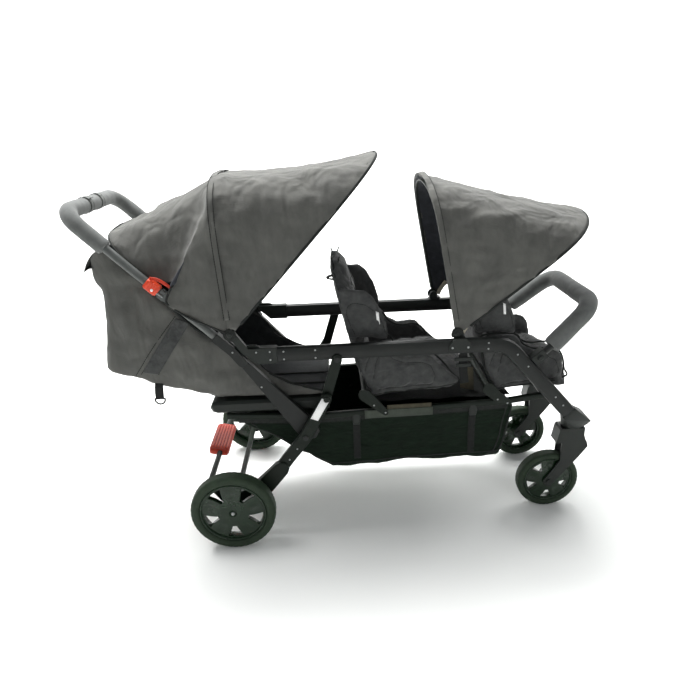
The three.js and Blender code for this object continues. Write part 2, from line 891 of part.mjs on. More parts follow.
// Brake: a bar behind the axle, carried by a plate at each wheel, and its foot pedal
const brakeBar = at(brakeBarX, rearWheelRadius + brakeBarRise);
{
  const outer = axleShoulder - restGap;
  const inner = outer - brakePlateThick;
  const arm = plate(strap([rearAxle, brakeBar], [brakeEyeRadius, brakePlateHalf]),
    inner, outer, blend);
  const holes = pin(rearAxle, rearAxleRadius + restGap, inner - overrun, outer + overrun);
  const bar = pin(brakeBar, brakeBarRadius, -inner - blend, inner + blend);
  const plateLeft = cut(arm, holes);
  add('brake_bar', satinBlack, join(plateLeft, mirrored(plateLeft), bar));
  const out = heading(pedalTilt);
  const front = along(brakeBar, out, pedalShift - pedalWidth / 2);
  const block = plate(strap([front, along(front, out, pedalWidth)],
    [pedalThick / 2, pedalThick / 2], false, false), -pedalLength / 2, pedalLength / 2,
  pedalBevel);
  const bore = pin(brakeBar, brakeBarRadius + restGap, -pedalLength, pedalLength);
  add('brake_pedal', pedalRed, cut(block, bore));
}

// Front wheels
const frontAxle = at(frontAxleX, frontWheelRadius);
const swivelX = frontAxleX + trail;
wheelPair('front_tyre', frontAxle, frontWheelY,
  tyre(frontWheelRadius, frontTyreDepth, frontTyreWidth), tyreBlack);
wheelPair('front_rim', frontAxle, frontWheelY, rim(frontWheelRadius - frontTyreDepth - restGap,
  frontTyreWidth, frontHubRadius, pinRadius + restGap, true), rimBlack);

// Caster forks: a crown with a steering pin, two tapered cheeks and the wheel's axle bolt
function upright(x, y, radius, low, high) {
  const geometry = new THREE.CylinderGeometry(radius, radius, high - low, roundSides);
  geometry.rotateX(Math.PI / 2);
  geometry.translate(x, y, (low + high) / 2);
  return geometry;
}
{
  const halfGap = frontTyreWidth / 2 + forkPlateGap;
  const outer = halfGap + forkPlate;
  const back = swivelX - crownBack;
  const front = swivelX + crownFront;
  const crown = plate([
    at(back - crownFront / 4, crownZ),
    at(front + crownFront / 3, crownZ),
    at(front, (crownZ + crownTopZ) / 2),
    at(front, crownTopZ),
    at(back + crownFront / 6, crownTopZ),
    at(back, crownTopZ - crownFront / 6),
  ], frontWheelY - outer, frontWheelY + outer, blend);
  const rim = (degrees) => along(frontAxle, heading(degrees), forkEndHalf);
  const cheek = [
    at(back + crownFront / 3, crownZ + blend * 3),
    at(back + crownFront / 3, (crownZ + frontWheelRadius) / 2 + forkPlate),
    ...[155, 200, 245, 290].map(rim),
    at(front - crownFront / 3, (crownZ + frontWheelRadius * 1.4) / 2),
    at(front + crownFront / 2, crownZ - crownFront / 2),
    at(front + crownFront / 3, crownZ + blend * 3),
  ];
  const plates = [-1, 1].map((side) => {
    const low = side > 0 ? halfGap : -outer;
    return plate(cheek, frontWheelY + low, frontWheelY + low + forkPlate);
  });
  const bolt = pin(frontAxle, pinRadius, frontWheelY - outer, frontWheelY + outer);
  const heads = [-1, 1].map((side) => pin(frontAxle, pinHeadRadius,
    frontWheelY + (side > 0 ? outer - blend : -outer - pinHeadThick),
    frontWheelY + (side > 0 ? outer + pinHeadThick : -outer + blend)));
  const steerer = upright(swivelX, frontWheelY, steererRadius, crownTopZ - blend,
    crownTopZ + steererLength);
  addPair('caster_fork', plasticBlack, join(crown, ...plates, bolt, ...heads, steerer));
}

// Caster housings: a cast foot from the end of each front leg in to the swivel over the wheel
{
  const low = crownTopZ + restGap;
  const back = swivelX - housingBack;
  const front = swivelX + housingFront;
  const across = leftOf(legWay);
  const seat = along(legEnd, legWay, restGap);
  const corners = [];
  const edge = (q, y0, y1) => corners.push(place(q, y0), place(q, y1));
  for (const side of [-1, 1]) {
    const q = along(seat, across, (side * (railHeight + blend)) / 2);
    edge(q, railInner, railOuter);
    edge(along(q, legWay, housingBevel), railInner, railOuter + blend);
  }
  const inner = frontWheelY - housingHalfY;
  const outer = frontWheelY + housingHalfY;
  edge(at(front - housingBevel, housingTopZ), inner + housingBevel, railOuter - housingBevel);
  edge(at(front, housingTopZ - housingBevel), inner + housingBevel, railOuter - housingBevel);
  for (let i = 0; i < roundSides; i++) {
    const a = ((i + 1 / 2) * 2 * Math.PI) / roundSides;
    const x = (back + front) / 2 + ((front - back) / 2) * Math.cos(a);
    const y = frontWheelY + housingHalfY * Math.sin(a);
    corners.push(new THREE.Vector3(x, y, low), new THREE.Vector3(x, y, low + housingBevel));
  }
  const bore = upright(swivelX, frontWheelY, steererRadius + restGap, low - overrun,
    crownTopZ + steererLength + runGap);
  addPair('caster_housing', plasticBlack, cut(new ConvexGeometry(corners), bore));
  const tabTop = low + restGap + swivelTabHeight;
  const wall = (back + front) / 2 + ((front - back) / 2) * Math.cos(Math.PI / roundSides);
  const lean = (front - wall) / (housingTopZ - housingBevel - low);
  const face = wall + restGap + lean * (tabTop - low + swivelTravel);
  const tab = plate([
    at(face, tabTop - swivelTabHeight),
    at(face + swivelTabReach, tabTop - swivelTabHeight * 0.8),
    at(face + swivelTabReach, tabTop - swivelTabHeight * 0.3),
    at(face, tabTop),
  ], frontWheelY - swivelTabHalf, frontWheelY + swivelTabHalf);
  addPair('swivel_lock', plasticBlack, tab);
}

// Lower side tubes and the tube that joins the front legs
const lowerLine = [
  at(lowerBackX, lowerBackZ),
  at(lowerDipX, lowerDipZ),
  at(lowerMidX, lowerMidZ),
  at(lowerFrontX, lowerFrontZ),
  at(lowerEndX, lowerEndZ),
];
const lowerTop = lowerHeight / 2;
{
  const tube = sideTube(filleted(lowerLine, lowerBend, 1), lowerY, lowerWidth, lowerHeight,
    lowerHeight / 4);
  addPair('lower_tube', satinBlack, tube);
  const end = lowerY - lowerWidth / 2 - restGap;
  const spot = at(lowerEndX - crossTubeRadius * 2, lowerEndZ);
  add('front_cross_tube', satinBlack, pin(spot, crossTubeRadius, -end, end));
}

function lowerHeightAt(x) {
  let i = 0;
  while (i < lowerLine.length - 2 && lowerLine[i + 1].x < x) i += 1;
  const [a, b] = [lowerLine[i], lowerLine[i + 1]];
  return a.y + ((b.y - a.y) * (x - a.x)) / (b.x - a.x);
}

// Rear seat base, a board on the lower tubes
{
  const low = lowerBackZ + lowerTop + restGap;
  const middle = (low + baseTopZ) / 2;
  const half = (baseTopZ - low) / 2;
  const outline = strap([at(baseStartX + half, middle), at(baseEndX, middle)], [half, half],
    true, false);
  add('rear_seat_base', plasticBlack, plate(outline, -baseHalfY, baseHalfY, baseCorner / 3));
}

// Cloth troughs: rows from a left edge down, across and up to a right edge
function trough(stations, halfY, corner, parts, ripple) {
  return stations.map(({ top, bottom }, i) => {
    const depth = Math.max(top.distanceTo(bottom), blend);
    const round = Math.min(corner, depth * 0.45);
    const down = bottom.clone().sub(top).normalize();
    const wave = ripple * Math.sin(i * 2.2) * Math.min(depth / (corner * 2), 1);
    const half = [];
    half.push(place(top, halfY));
    half.push(place(along(top, down, (depth - round) / 2), halfY - Math.abs(wave)));
    for (let k = 0; k <= parts; k++) {
      const a = (Math.PI / 2) * (k / parts);
      const p = along(top, down, depth - round + round * Math.sin(a));
      half.push(place(p, halfY - round + round * Math.cos(a)));
    }
    half.push(place(along(bottom, down, wave), (halfY - round) / 2));
    const other = half.map((p) => new THREE.Vector3(p.x, -p.y, p.z)).reverse();
    return [...half, place(along(bottom, down, wave * 1.5), 0), ...other];
  });
}

// Basket
{
  const stations = [];
  const slope = 5;
  const bottomAt = (x) => {
    const rear = THREE.MathUtils.clamp((x - basketStartX) / (basketBackX - basketStartX), 0, 1);
    const fore = THREE.MathUtils.clamp((basketEndX - x) / (basketEndX - basketFrontX), 0, 1);
    return Math.min(rear, Math.sqrt(1 - (1 - fore) ** 2));
  };
  const places = [];
  for (let k = 0; k < slope; k++) {
    places.push(basketStartX + ((basketBackX - basketStartX) * k) / slope);
  }
  for (let k = 0; k <= slope; k++) {
    places.push(basketBackX + ((basketFrontX - basketBackX) * k) / slope);
  }
  for (const share of [0.4, 0.75, 0.93, 1]) {
    places.push(basketFrontX + (basketEndX - basketFrontX) * share);
  }
  for (const x of places) {
    const edge = lowerHeightAt(x) - lowerTop - restGap - blend / 2;
    const depth = Math.max(basketDepth * bottomAt(x), basketWall * 2);
    stations.push({ top: at(x, edge), bottom: at(x, edge - depth - basketSag * bottomAt(x) ** 8) });
  }
  add('basket', basketBlack,
    sheet(trough(stations, basketHalfY, basketCorner, 3, basketRipple), basketWall));
}

// Rear seat: a deep fabric bucket, and the padded liner that follows its back and floor
const rearHeight = rearTopZ - baseTopZ;
const rearLength = rearFrontX - rearBackX;
const rearFloor = baseTopZ + restGap;
function rearPoint([x, z]) {
  return at(rearBackX + rearLength * x, rearFloor + rearHeight * z);
}
const rearOutlineShares = [[0.082, 0.98], [0.034, 0.915], [0.028, 0.8], [0.055, 0.69],
  [0.03, 0.42], [0.007, 0.27], [0.02, 0.21], [0.115, 0.155], [0.25, 0.085], [0.42, 0.025],
  [0.5, 0], [0.7, 0], [1, 0]];
const rearEdgeShares = [[0.09, 0.995], [0.11, 0.975], [0.2, 0.845], [0.28, 0.715], [0.36, 0.595],
  [0.45, 0.465], [0.53, 0.4], [0.61, 0.345], [0.67, 0.29], [0.72, 0.19], [0.79, 0.125],
  [0.86, 0.075], [1, 0.02]];
{
  const bottoms = rearOutlineShares.map(rearPoint);
  const tops = rearEdgeShares.map(rearPoint);
  const stations = bottoms.map((bottom, i) => ({ top: tops[i], bottom }));
  const rows = trough(stations, rearHalfY, rearCornerRadius, 3, 0);
  add('rear_seat', charcoal, sheet(rows, rearWall));
  const line = rearOutlineShares.slice(1, -1)
    .map(([x, z]) => rearPoint([z > rearBendShare ? Math.max(x, rearBendX) : x, z]));
  const inset = rearWall + rearPadGap;
  const steps = 18;
  const pad = softBlock(8, steps, 2, (u, v, w) => {
    const share = (v + 1) / 2;
    const p = onLine(line, share);
    const q = onLine(line, Math.min(share + 1 / steps, 1));
    const r = onLine(line, Math.max(share - 1 / steps, 0));
    const inwards = leftOf(q.sub(r).normalize());
    const soft = (1 - u ** 4) * (1 - v ** 8);
    const lift = inset + ((w + 1) / 2) * (rearPadThick * (0.45 + 0.55 * soft)
      + rearPadCrown * (1 - u ** 2) * Math.abs(Math.sin(share * Math.PI * 5)));
    return place(along(p, inwards, lift), u * (rearHalfY - rearCornerRadius));
  });
  add('rear_seat_pad', charcoal, pad);
}

// Bucket seats
const seatNames = ['mid', 'front'];
function seatPoint(index, x, z) {
  return at(seatX + seatPitch * index + x, seatZ + z);
}

// Seat frames: a bracket at each side from the backrest pivot to the lower tube, a rod across
// and two flat rails under the cushion
const backPivot = at(-bracketBackX, bracketRise);
seatNames.forEach((name, index) => {
  const pivot = seatPoint(index, backPivot.x, backPivot.y);
  const floor = seatPoint(index, 0, -restGap - seatRailHeight / 2);
  const footX = seatX + seatPitch * index + bracketFootX;
  const foot = at(footX, lowerHeightAt(footX));
  const inner = lowerY + lowerWidth / 2 + restGap;
  const side = plate(strap([pivot, at(floor.x + bracketRise / 2, floor.y), foot],
    [bracketHalf, bracketHalf * 0.8, lowerTop]), inner, inner + bracketThick);
  const rod = pin(pivot, bracketRodRadius, -inner - blend, inner + blend);
  const lowRod = pin(at(floor.x + bracketRise / 2, floor.y), (seatRailHeight - blend) / 2,
    -inner - blend, inner + blend);
  const railStart = bracketRise / 2;
  const railEnd = seatDepth * seatRailShare;
  const onTilt = (x, z) => at(floor.x + x, floor.y + x * seatTiltShare + z);
  const rails = [-1, 1].map((s) => {
    const middle = s * seatHalfY * 0.6;
    return plate([
      onTilt(railStart, -seatRailHeight / 2),
      onTilt(railEnd, -seatRailHeight / 2),
      onTilt(railEnd, seatRailHeight / 2),
      onTilt(railStart, seatRailHeight / 2),
    ], middle - seatRailWidth / 2, middle + seatRailWidth / 2);
  });
  add(`${name}_seat_frame`, satinBlack,
    join(side, mirrored(side), rod, lowRod, ...rails));
});

// Seat pads: a crowned cushion with a rolled nose between two raised side panels
const sideShares = [[0, 0.02], [0.99, 0.1], [1.01, 0.42], [0.96, 0.76], [0.88, 0.93], [0.77, 1],
  [0.55, 1], [0.39, 1.15], [0.26, 1.4], [-0.2, 1.39], [-0.19, 0.97], [-0.14, 0.56]];
seatNames.forEach((name, index) => {
  const origin = seatPoint(index, 0, 0);
  const rise = seatDepth * seatTiltShare;
  const tilt = (x) => (rise * Math.max(x, 0)) / seatDepth;
  const nose = noseReach[index];
  const cushion = softBlock(8, 6, 2, (u, v, w) => {
    const x = ((u + 1) / 2) * (seatDepth + nose * (1 - noseRound * v * v));
    const round = Math.sqrt(Math.max(1 - Math.max(u * 1.15 - 0.15, 0) ** 6, 0));
    const channel = Math.cos(u * Math.PI * 3) * cushionCrown * 0.3;
    const soft = (1 - v ** 6) * (1 - Math.abs(u) ** 8);
    const top = (cushionHeight - cushionCrown) * (0.55 + 0.45 * round)
      + (cushionCrown + channel) * soft;
    const base = cushionHeight * 0.3 * (1 - round);
    const z = w < 0 ? base * -w + (top * (w + 1)) / 2 : (top * (w + 1)) / 2;
    const droop = noseDroop[index] * THREE.MathUtils.smoothstep(u, 0.55, 1);
    return place(at(origin.x + x, origin.y + tilt(x) + z - droop), v * (seatHalfY - blend));
  });
  const outline = sideShares.map(([x, z]) => at(origin.x + seatDepth * x,
    origin.y + sideHeight * z + tilt(seatDepth * x) * (1 - z / 2)));
  const panel = plate(outline, seatHalfY - sideThick, seatHalfY, sideThick * 0.3);
  add(`${name}_seat_pad`, charcoal, join(cushion, panel, mirrored(panel)));
});

// Backrests: a crowned panel with a narrower head, and a wing at each side
const backShares = [[0, 0], [-0.36, 0.19], [-0.46, 0.31], [-0.6, 0.46], [-0.84, 0.7], [-1.08, 0.94],
  [-1.12, 1]];
const wingShares = [[1.14, 0.585], [1.02, 0.67], [0.78, 0.777], [0.28, 0.915], [-0.22, 0.975],
  [-1, 0.98], [-1.76, 0.98]];
const seamZ = sideHeight * 1.4 + seatDepth * seatTiltShare * 0.1 + restGap * 8;
seatNames.forEach((name, index) => {
  const origin = seatPoint(index, 0, 0);
  const lean = (z) => {
    const s = z / backHeight;
    let i = 0;
    while (i < backShares.length - 2 && backShares[i + 1][1] < s) i += 1;
    const [x0, s0] = backShares[i];
    const [x1, s1] = backShares[i + 1];
    return backLean * (x0 + ((x1 - x0) * (s - s0)) / (s1 - s0));
  };
  const start = cushionHeight + blend;
  const panel = softBlock(6, 12, 2, (u, v, w) => {
    const z = start + ((v + 1) / 2) * (backHeight - start);
    const s = z / backHeight;
    const neck = THREE.MathUtils.smoothstep(s, 0.78, 0.95);
    const wide = seatHalfY - (z > seamZ ? sideThick / 2 : sideThick + restGap);
    const halfAt = THREE.MathUtils.lerp(wide, headHalf, neck);
    const soft = (1 - u ** 6) * (1 - Math.abs(v) ** 12);
    const groove = 0.55 + 0.45 * Math.abs(Math.cos(s * Math.PI * 4));
    const thick = backThick * (0.5 + 0.5 * soft * groove) + backCrown * (1 - u ** 2) * soft;
    const x = lean(z) + ((w + 1) / 2) * thick;
    const drop = headRound * u ** 4 * THREE.MathUtils.smoothstep(s, 0.8, 1);
    return place(at(origin.x + x, origin.y + z - drop), u * halfAt);
  });
  const front = wingShares.map(([x, z]) => at(origin.x + wingReach * x,
    origin.y + wingHeight * z));
  const rear = [0.95, 0.8, 0.65].map((s) => at(origin.x + lean(wingHeight * s),
    origin.y + wingHeight * s));
  const wing = plate([...front, ...rear, at(origin.x + lean(seamZ), origin.y + seamZ),
    at(origin.x + wingReach * 1.05, origin.y + seamZ)], seatHalfY - sideThick, seatHalfY,
  sideThick * 0.3);
  add(`${name}_seat_back`, charcoal, join(panel, wing, mirrored(wing)));
});

// Canopies: hoops that turn on one pivot, and cloth drawn over them
function hoop(pivot, angle, length, halfY, powers, t) {
  const a = Math.PI * t;
  const y = halfY * Math.sign(Math.cos(a)) * Math.abs(Math.cos(a)) ** (2 / powers[0]);
  const r = length * Math.abs(Math.sin(a)) ** (2 / powers[1]);
  return place(along(pivot, heading(angle), r), y);
}

// Shares of a half turn, stopped short of the pivot at both ends
function hoopShares(length, startDistance, powers, count) {
  const first = Math.asin((startDistance / length) ** (powers[1] / 2)) / Math.PI;
  return Array.from({ length: count + 1 }, (_, i) => first + ((1 - 2 * first) * i) / count);
}

function bow(name, pivot, angle, length, eyeLow, powers) {
  const middle = eyeLow + eyeThick / 2;
  const inside = length - bowInset;
  const count = 14;
  const route = hoopShares(inside, eyeRadius * 0.7, powers, count)
    .map((t) => hoop(pivot, angle, inside, middle, powers, t));
  const arc = sweep(stripShape(eyeThick * 0.7, bowWidth), route);
  const eye = plate(disc(pivot, eyeRadius), eyeLow, eyeLow + eyeThick);
  const hole = pin(pivot, pinRadius + restGap, eyeLow - overrun, eyeLow + eyeThick + overrun);
  const ring = cut(eye, hole);
  add(name, satinBlack, cut(join(arc, ring, mirrored(ring)), hole, mirrored(hole)));
}

// Cloth over a pair of hoops, with a round tab over each pivot that may end flat below
function cover(name, pivot, halfY, rows, drop) {
  const round = disc(pivot, clothEnd).map((p) => at(p.x, Math.max(p.y, pivot.y - drop)));
  const tab = plate(round, halfY - fabric, halfY);
  add(name, charcoal, join(sheet(rows, fabric), tab, mirrored(tab)));
}

// The front hem hangs a little past its bow
function hem(point, angle) {
  const out = leftOf(heading(angle)).multiplyScalar(-hemOverlap);
  return new THREE.Vector3(point.x + out.x, point.y, point.z + out.y);
}

// Rear canopy
bow('rear_canopy_front_bow', canopyPivot, frontBowAngle, frontBowLength, frontEyeLow,
  rearBowPowers);
bow('rear_canopy_middle_bow', canopyPivot, middleBowAngle, middleBowLength, middleEyeLow,
  rearBowPowers);
{
  const halfY = middleEyeHigh + runGap + fabric;
  const count = 20;
  const shares = hoopShares(middleBowLength, clothStart, rearBowPowers, count);
  const frontShares = hoopShares(frontBowLength, clothStart, rearBowPowers, count);
  const spot = (share, x, rise, y) => [share, place(at(canopyPivotX + x, canopyPivot.y + rise), y)];
  const spots = [
    [0, place(along(canopyPivot, heading(handleAngle + 10), clothStart * 0.6), halfY)],
    spot(0.3, slitX, slitLowRise, halfY),
    spot(0.4, (slitX * 2 + slitTopX) / 3, (slitLowRise * 2 + slitTopRise) / 3, halfY),
    spot(0.5, slitTopX, slitTopRise, halfY),
    spot(0.6, innerX, innerRise, railY - slitInset),
    spot(0.7, tubeSideX, tubeSideRise, railY - slitInset),
    spot(0.8, (tubeSideX + flapX) / 2, (tubeSideRise + flapRise) / 2, railY - slitInset - fabric),
    spot(0.9, flapX, flapRise, flapHalf),
    spot(1, flapX, flapCrestRise, 0),
  ];
  const rearEdge = (t) => {
    const side = t < 1 / 2 ? 1 : -1;
    const share = (t < 1 / 2 ? t : 1 - t) * 2;
    let i = 0;
    while (i < spots.length - 2 && spots[i + 1][0] < share) i += 1;
    const [s0, p0] = spots[i];
    const [s1, p1] = spots[i + 1];
    const p = p0.clone().lerp(p1, THREE.MathUtils.clamp((share - s0) / (s1 - s0), 0, 1));
    return new THREE.Vector3(p.x, p.y * side, p.z);
  };
  const rows = [];
  const panels = 5;
  for (let k = 0; k <= panels * 2; k++) {
    rows.push(shares.map((t, j) => {
      const middle = hoop(canopyPivot, middleBowAngle, middleBowLength, halfY, rearBowPowers, t);
      const v = (k % panels) / panels;
      const crest = Math.sin(Math.PI * t) ** 2;
      if (k < panels) {
        const front = hem(hoop(canopyPivot, frontBowAngle, frontBowLength, halfY, rearBowPowers,
          frontShares[j]), frontBowAngle);
        const p = front.lerp(middle, v);
        p.z -= clothSag * 2.2 * Math.sin(Math.PI * v) * crest;
        return p;
      }
      const back = rearEdge(t);
      const share = (k - panels) / panels;
      const p = middle.lerp(back, share);
      p.z -= clothSag * 2.5 * Math.sin(Math.PI * share ** 0.7) * crest;
      return p;
    }));
  }
  cover('rear_canopy_cover', canopyPivot, halfY, rows, clothEnd);
}

// Front canopy clips: a saddle over each rail with a pivot post on top
const clipPivot = at(clipX - clipPivotBack, railZ + clipPivotRise);
const clipLugLow = railInner + clipThick;
const rearEyeLow = railY - eyeThick - restGap;
const foreEyeLow = rearEyeLow + eyeThick + restGap;
{
  const top = railZ + railHeight / 2 + restGap;
  const box = (x0, x1, z0, z1, y0, y1) => plate([at(x0, z0), at(x1, z0), at(x1, z1), at(x0, z1)],
    y0, y1);
  const outside = railOuter + restGap;
  const flange = plate([
    at(clipX - clipHalf, railZ - clipDrop / 3),
    at(clipX + clipHalf, railZ - clipDrop / 3),
    at(clipX + clipHalf, railZ + clipDrop / 3),
    at(clipX + clipHalf / 2, top + clipThick),
    at(clipX - clipHalf / 2, top + clipThick),
    at(clipX - clipHalf, railZ + clipDrop / 3),
  ], outside, outside + clipThick);
  const roof = box(clipX - clipHalf / 2, clipX + clipHalf / 2, top, top + clipThick,
    railInner, outside + blend);
  const lug = plate(strap([at(clipPivot.x, top + blend), clipPivot],
    [clipLugHalf, clipLugHalf], false, true), railInner, rearEyeLow - runGap);
  const post = pin(clipPivot, pinRadius, railInner + blend, foreEyeLow + eyeThick);
  addPair('canopy_clip', plasticBlack, join(flange, roof, lug, post));
}
bow('front_canopy_rear_bow', clipPivot, frontRearBowAngle, frontRearBowLength, rearEyeLow,
  frontBowPowers);
bow('front_canopy_front_bow', clipPivot, frontFrontBowAngle, frontFrontBowLength, foreEyeLow,
  frontBowPowers);
{
  const halfY = foreEyeLow + eyeThick + restGap + fabric;
  const count = 20;
  const rearShares = hoopShares(frontRearBowLength, clothStart, frontBowPowers, count);
  const foreShares = hoopShares(frontFrontBowLength, clothStart, frontBowPowers, count);
  const panels = 6;
  const rows = [];
  for (let k = 0; k <= panels; k++) {
    const v = k / panels;
    rows.push(rearShares.map((t, j) => {
      const rear = hoop(clipPivot, frontRearBowAngle, frontRearBowLength, halfY, frontBowPowers, t);
      const fore = hem(hoop(clipPivot, frontFrontBowAngle, frontFrontBowLength, halfY,
        frontBowPowers, foreShares[j]), frontFrontBowAngle);
      const p = fore.lerp(rear, v);
      p.z -= clothSag * 0.7 * Math.sin(Math.PI * v) * Math.sin(Math.PI * t) ** 2;
      return p;
    }));
  }
  cover('front_canopy_cover', clipPivot, halfY, rows, eyeRadius);
}

// Bumper bar: sockets on the front legs, the bar, its foam and the release buttons
{
  const up = leftOf(legWay);
  const foot = along(railKnee, legWay, bumperAlong);
  const seat = railHeight / 2 + restGap;
  const socketEnd = seat + socketHeight;
  const centre = (distance) => along(foot, up, distance);
  const shell = plate(strap([centre(seat), centre(socketEnd)], [socketHalf, socketHalf], false,
    false), railY - socketHalfY, railY + socketHalfY, socketBevel / 3);
  const bore = tubeAlong(centre(socketEnd - pegDepth), centre(socketEnd + overrun), railY,
    bumperTube + restGap);
  const button = centre((seat + socketEnd) / 2);
  const face = railY + socketHalfY + bossOut;
  const boss = pin(button, bossRadius, face - bossOut - blend, face);
  const recess = pin(button, buttonRadius + restGap, railY + bumperTube / 4, face + overrun);
  addPair('bumper_socket', plasticBlack, cut(join(shell, boss), bore, recess));
  const knobInner = railY + bumperTube + buttonTravel + restGap;
  const knob = pin(button, buttonRadius, knobInner, face + buttonOut);
  addPair('bumper_button', buttonGrey, knob);

  const corner = place(centre(bumperLength), railY - bumperInset);
  const turn = place(centre(bumperStraight), railY);
  const peg = place(centre(socketEnd - pegDepth + restGap), railY);
  const flip = (p) => new THREE.Vector3(p.x, -p.y, p.z);
  const arc = filleted([turn, corner, flip(corner), flip(turn)], bumperBend);
  add('bumper_bar', satinBlack,
    sweep(ringShape(bumperTube), [peg, ...arc, flip(peg)]));
  const foamStart = turn.clone().lerp(corner,
    (bumperFoamStart + socketHeight / 8 - bumperStraight + overrun) / (bumperLength - bumperStraight));
  const foamArc = filleted([foamStart, corner, flip(corner), flip(foamStart)], bumperBend);
  add('bumper_foam', foamGrey,
    sweep(ringShape(bumperFoam, roundSides, bumperTube + restGap), foamArc));
}

// The origin is the middle of the stroller at the floor
group.updateMatrixWorld(true);
const bounds = new THREE.Box3().setFromObject(group);
group.position.set(-(bounds.min.x + bounds.max.x) / 2, 0, -bounds.min.z);
group.updateMatrixWorld(true);

export default group;
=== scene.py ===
import math

import bmesh
import bpy
import numpy as np
from mathutils import Matrix, Vector, noise
from mathutils.bvhtree import BVHTree
from mathutils.kdtree import KDTree


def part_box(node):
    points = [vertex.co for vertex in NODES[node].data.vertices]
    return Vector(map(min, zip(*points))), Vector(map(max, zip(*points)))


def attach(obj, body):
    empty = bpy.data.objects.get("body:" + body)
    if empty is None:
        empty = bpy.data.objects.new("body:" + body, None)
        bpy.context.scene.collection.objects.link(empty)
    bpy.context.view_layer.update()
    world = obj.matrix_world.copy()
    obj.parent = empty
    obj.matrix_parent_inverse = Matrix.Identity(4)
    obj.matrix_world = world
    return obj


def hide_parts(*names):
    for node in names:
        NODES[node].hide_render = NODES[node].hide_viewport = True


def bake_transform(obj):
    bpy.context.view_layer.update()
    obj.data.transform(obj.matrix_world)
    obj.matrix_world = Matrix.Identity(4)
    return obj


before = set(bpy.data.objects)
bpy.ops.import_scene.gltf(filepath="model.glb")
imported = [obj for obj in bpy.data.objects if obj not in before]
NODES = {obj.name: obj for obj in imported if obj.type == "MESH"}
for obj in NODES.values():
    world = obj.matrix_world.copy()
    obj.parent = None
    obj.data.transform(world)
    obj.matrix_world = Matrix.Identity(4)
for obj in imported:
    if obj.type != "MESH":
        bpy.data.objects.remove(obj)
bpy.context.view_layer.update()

scene = bpy.context.scene

# Lengths are millimetres. In this file x is measured from the rear axle, as in the maker's drawing,
# y is to the left and z is up. SHIFT brings x to the middle of the stroller.
MM = 0.001
SHIFT = 345.177

# The maker's sizes that the soft pieces follow: the side rails' middle and outer face
RAIL_Y, RAIL_OUT = 187, 199.5
# Canopy pivots, and bows as (heading in degrees, length), half width and their curve's powers
REAR_PIVOT = (38, 630)
FRONT_PIVOT = (636, 598)
REAR_BOWS = dict(front=(46.9, 584), middle=(92.2, 389), powers=(3, 7), half=211)
FRONT_BOWS = dict(front=(38.2, 466), rear=(100.4, 403), powers=(2, 9), half=193.9)
# The handle's foot and heading, and the rail's knee with the front leg's ways along and out
HANDLE_FOOT, HANDLE_ANGLE = (-118.1, 734.2), 134.8
KNEE = (771, 562)
LEG_WAY, LEG_UP = (0.6609, -0.7504), (0.7504, 0.6609)
# Each seat's back lower corner
SEATS = {"mid": (403, 402), "front": (753, 402)}


# Small tools

def metres(x, y, z):
    return Vector(((x - SHIFT) * MM, y * MM, z * MM))


def heading(degrees):
    a = math.radians(degrees)
    return math.cos(a), math.sin(a)


def step(low, high, value):
    t = min(max((value - low) / (high - low), 0), 1)
    return t * t * (3 - 2 * t)


def straight(a, b, parts):
    """Points evenly spaced from a to b."""
    return [tuple(p + (q - p) * k / parts for p, q in zip(a, b)) for k in range(parts + 1)]


def through(points, parts):
    """A smooth line through points, with `parts` stretches between each pair."""
    p = [Vector(q) for q in points]
    p = [p[0] * 2 - p[1], *p, p[-1] * 2 - p[-2]]
    line = []
    for i in range(1, len(p) - 2):
        a, b, c, d = p[i - 1:i + 3]
        for k in range(parts):
            t = k / parts
            line.append(0.5 * ((2 * b) + (c - a) * t + (2 * a - 5 * b + 4 * c - d) * t * t
                               + (3 * b - a - 3 * c + d) * t ** 3))
    return [*line, p[-2]]


def rounded(points, radius, parts=10):
    """A line of straight stretches with each inner corner rounded."""
    p = [Vector(q) for q in points]
    line = [p[0]]
    for a, b, c in zip(p, p[1:], p[2:]):
        u, v = (a - b).normalized(), (c - b).normalized()
        half = u.angle(v) / 2
        reach = radius / math.tan(half)
        middle = b + (u + v).normalized() * radius / math.sin(half)
        first, last = b + u * reach - middle, b + v * reach - middle
        turn = first.angle(last)
        for k in range(parts + 1):
            t = k / parts
            line.append(middle + (first * math.sin((1 - t) * turn) + last * math.sin(t * turn))
                        / math.sin(turn))
    return [*line, p[-1]]


def evenly(line, length):
    """The same line with points about `length` apart."""
    ends = [0]
    for a, b in zip(line, line[1:]):
        ends.append(ends[-1] + (b - a).length)
    count = max(int(round(ends[-1] / length)), 2)
    made, i = [], 0
    for k in range(count + 1):
        want = ends[-1] * k / count
        while i < len(line) - 2 and ends[i + 1] < want:
            i += 1
        span = ends[i + 1] - ends[i]
        made.append(line[i].lerp(line[i + 1], (want - ends[i]) / span if span else 0))
    return made


def round_section(across, up, count=16, power=2.0):
    """An oval, or with a higher power a rounded rectangle, as points across and up."""
    made = []
    for k in range(count):
        a = 2 * math.pi * (k + 0.5) / count
        c, s = math.cos(a), math.sin(a)
        made.append((across * math.copysign(abs(c) ** (2 / power), c),
                     up * math.copysign(abs(s) ** (2 / power), s)))
    return made


def swelling(least, parts, start=0.0, span=1.0):
    """Scales along a route that grow to full size in its middle."""
    return [least + (1 - least) * math.sin(math.pi * (start + span * k / parts))
            for k in range(parts + 1)]


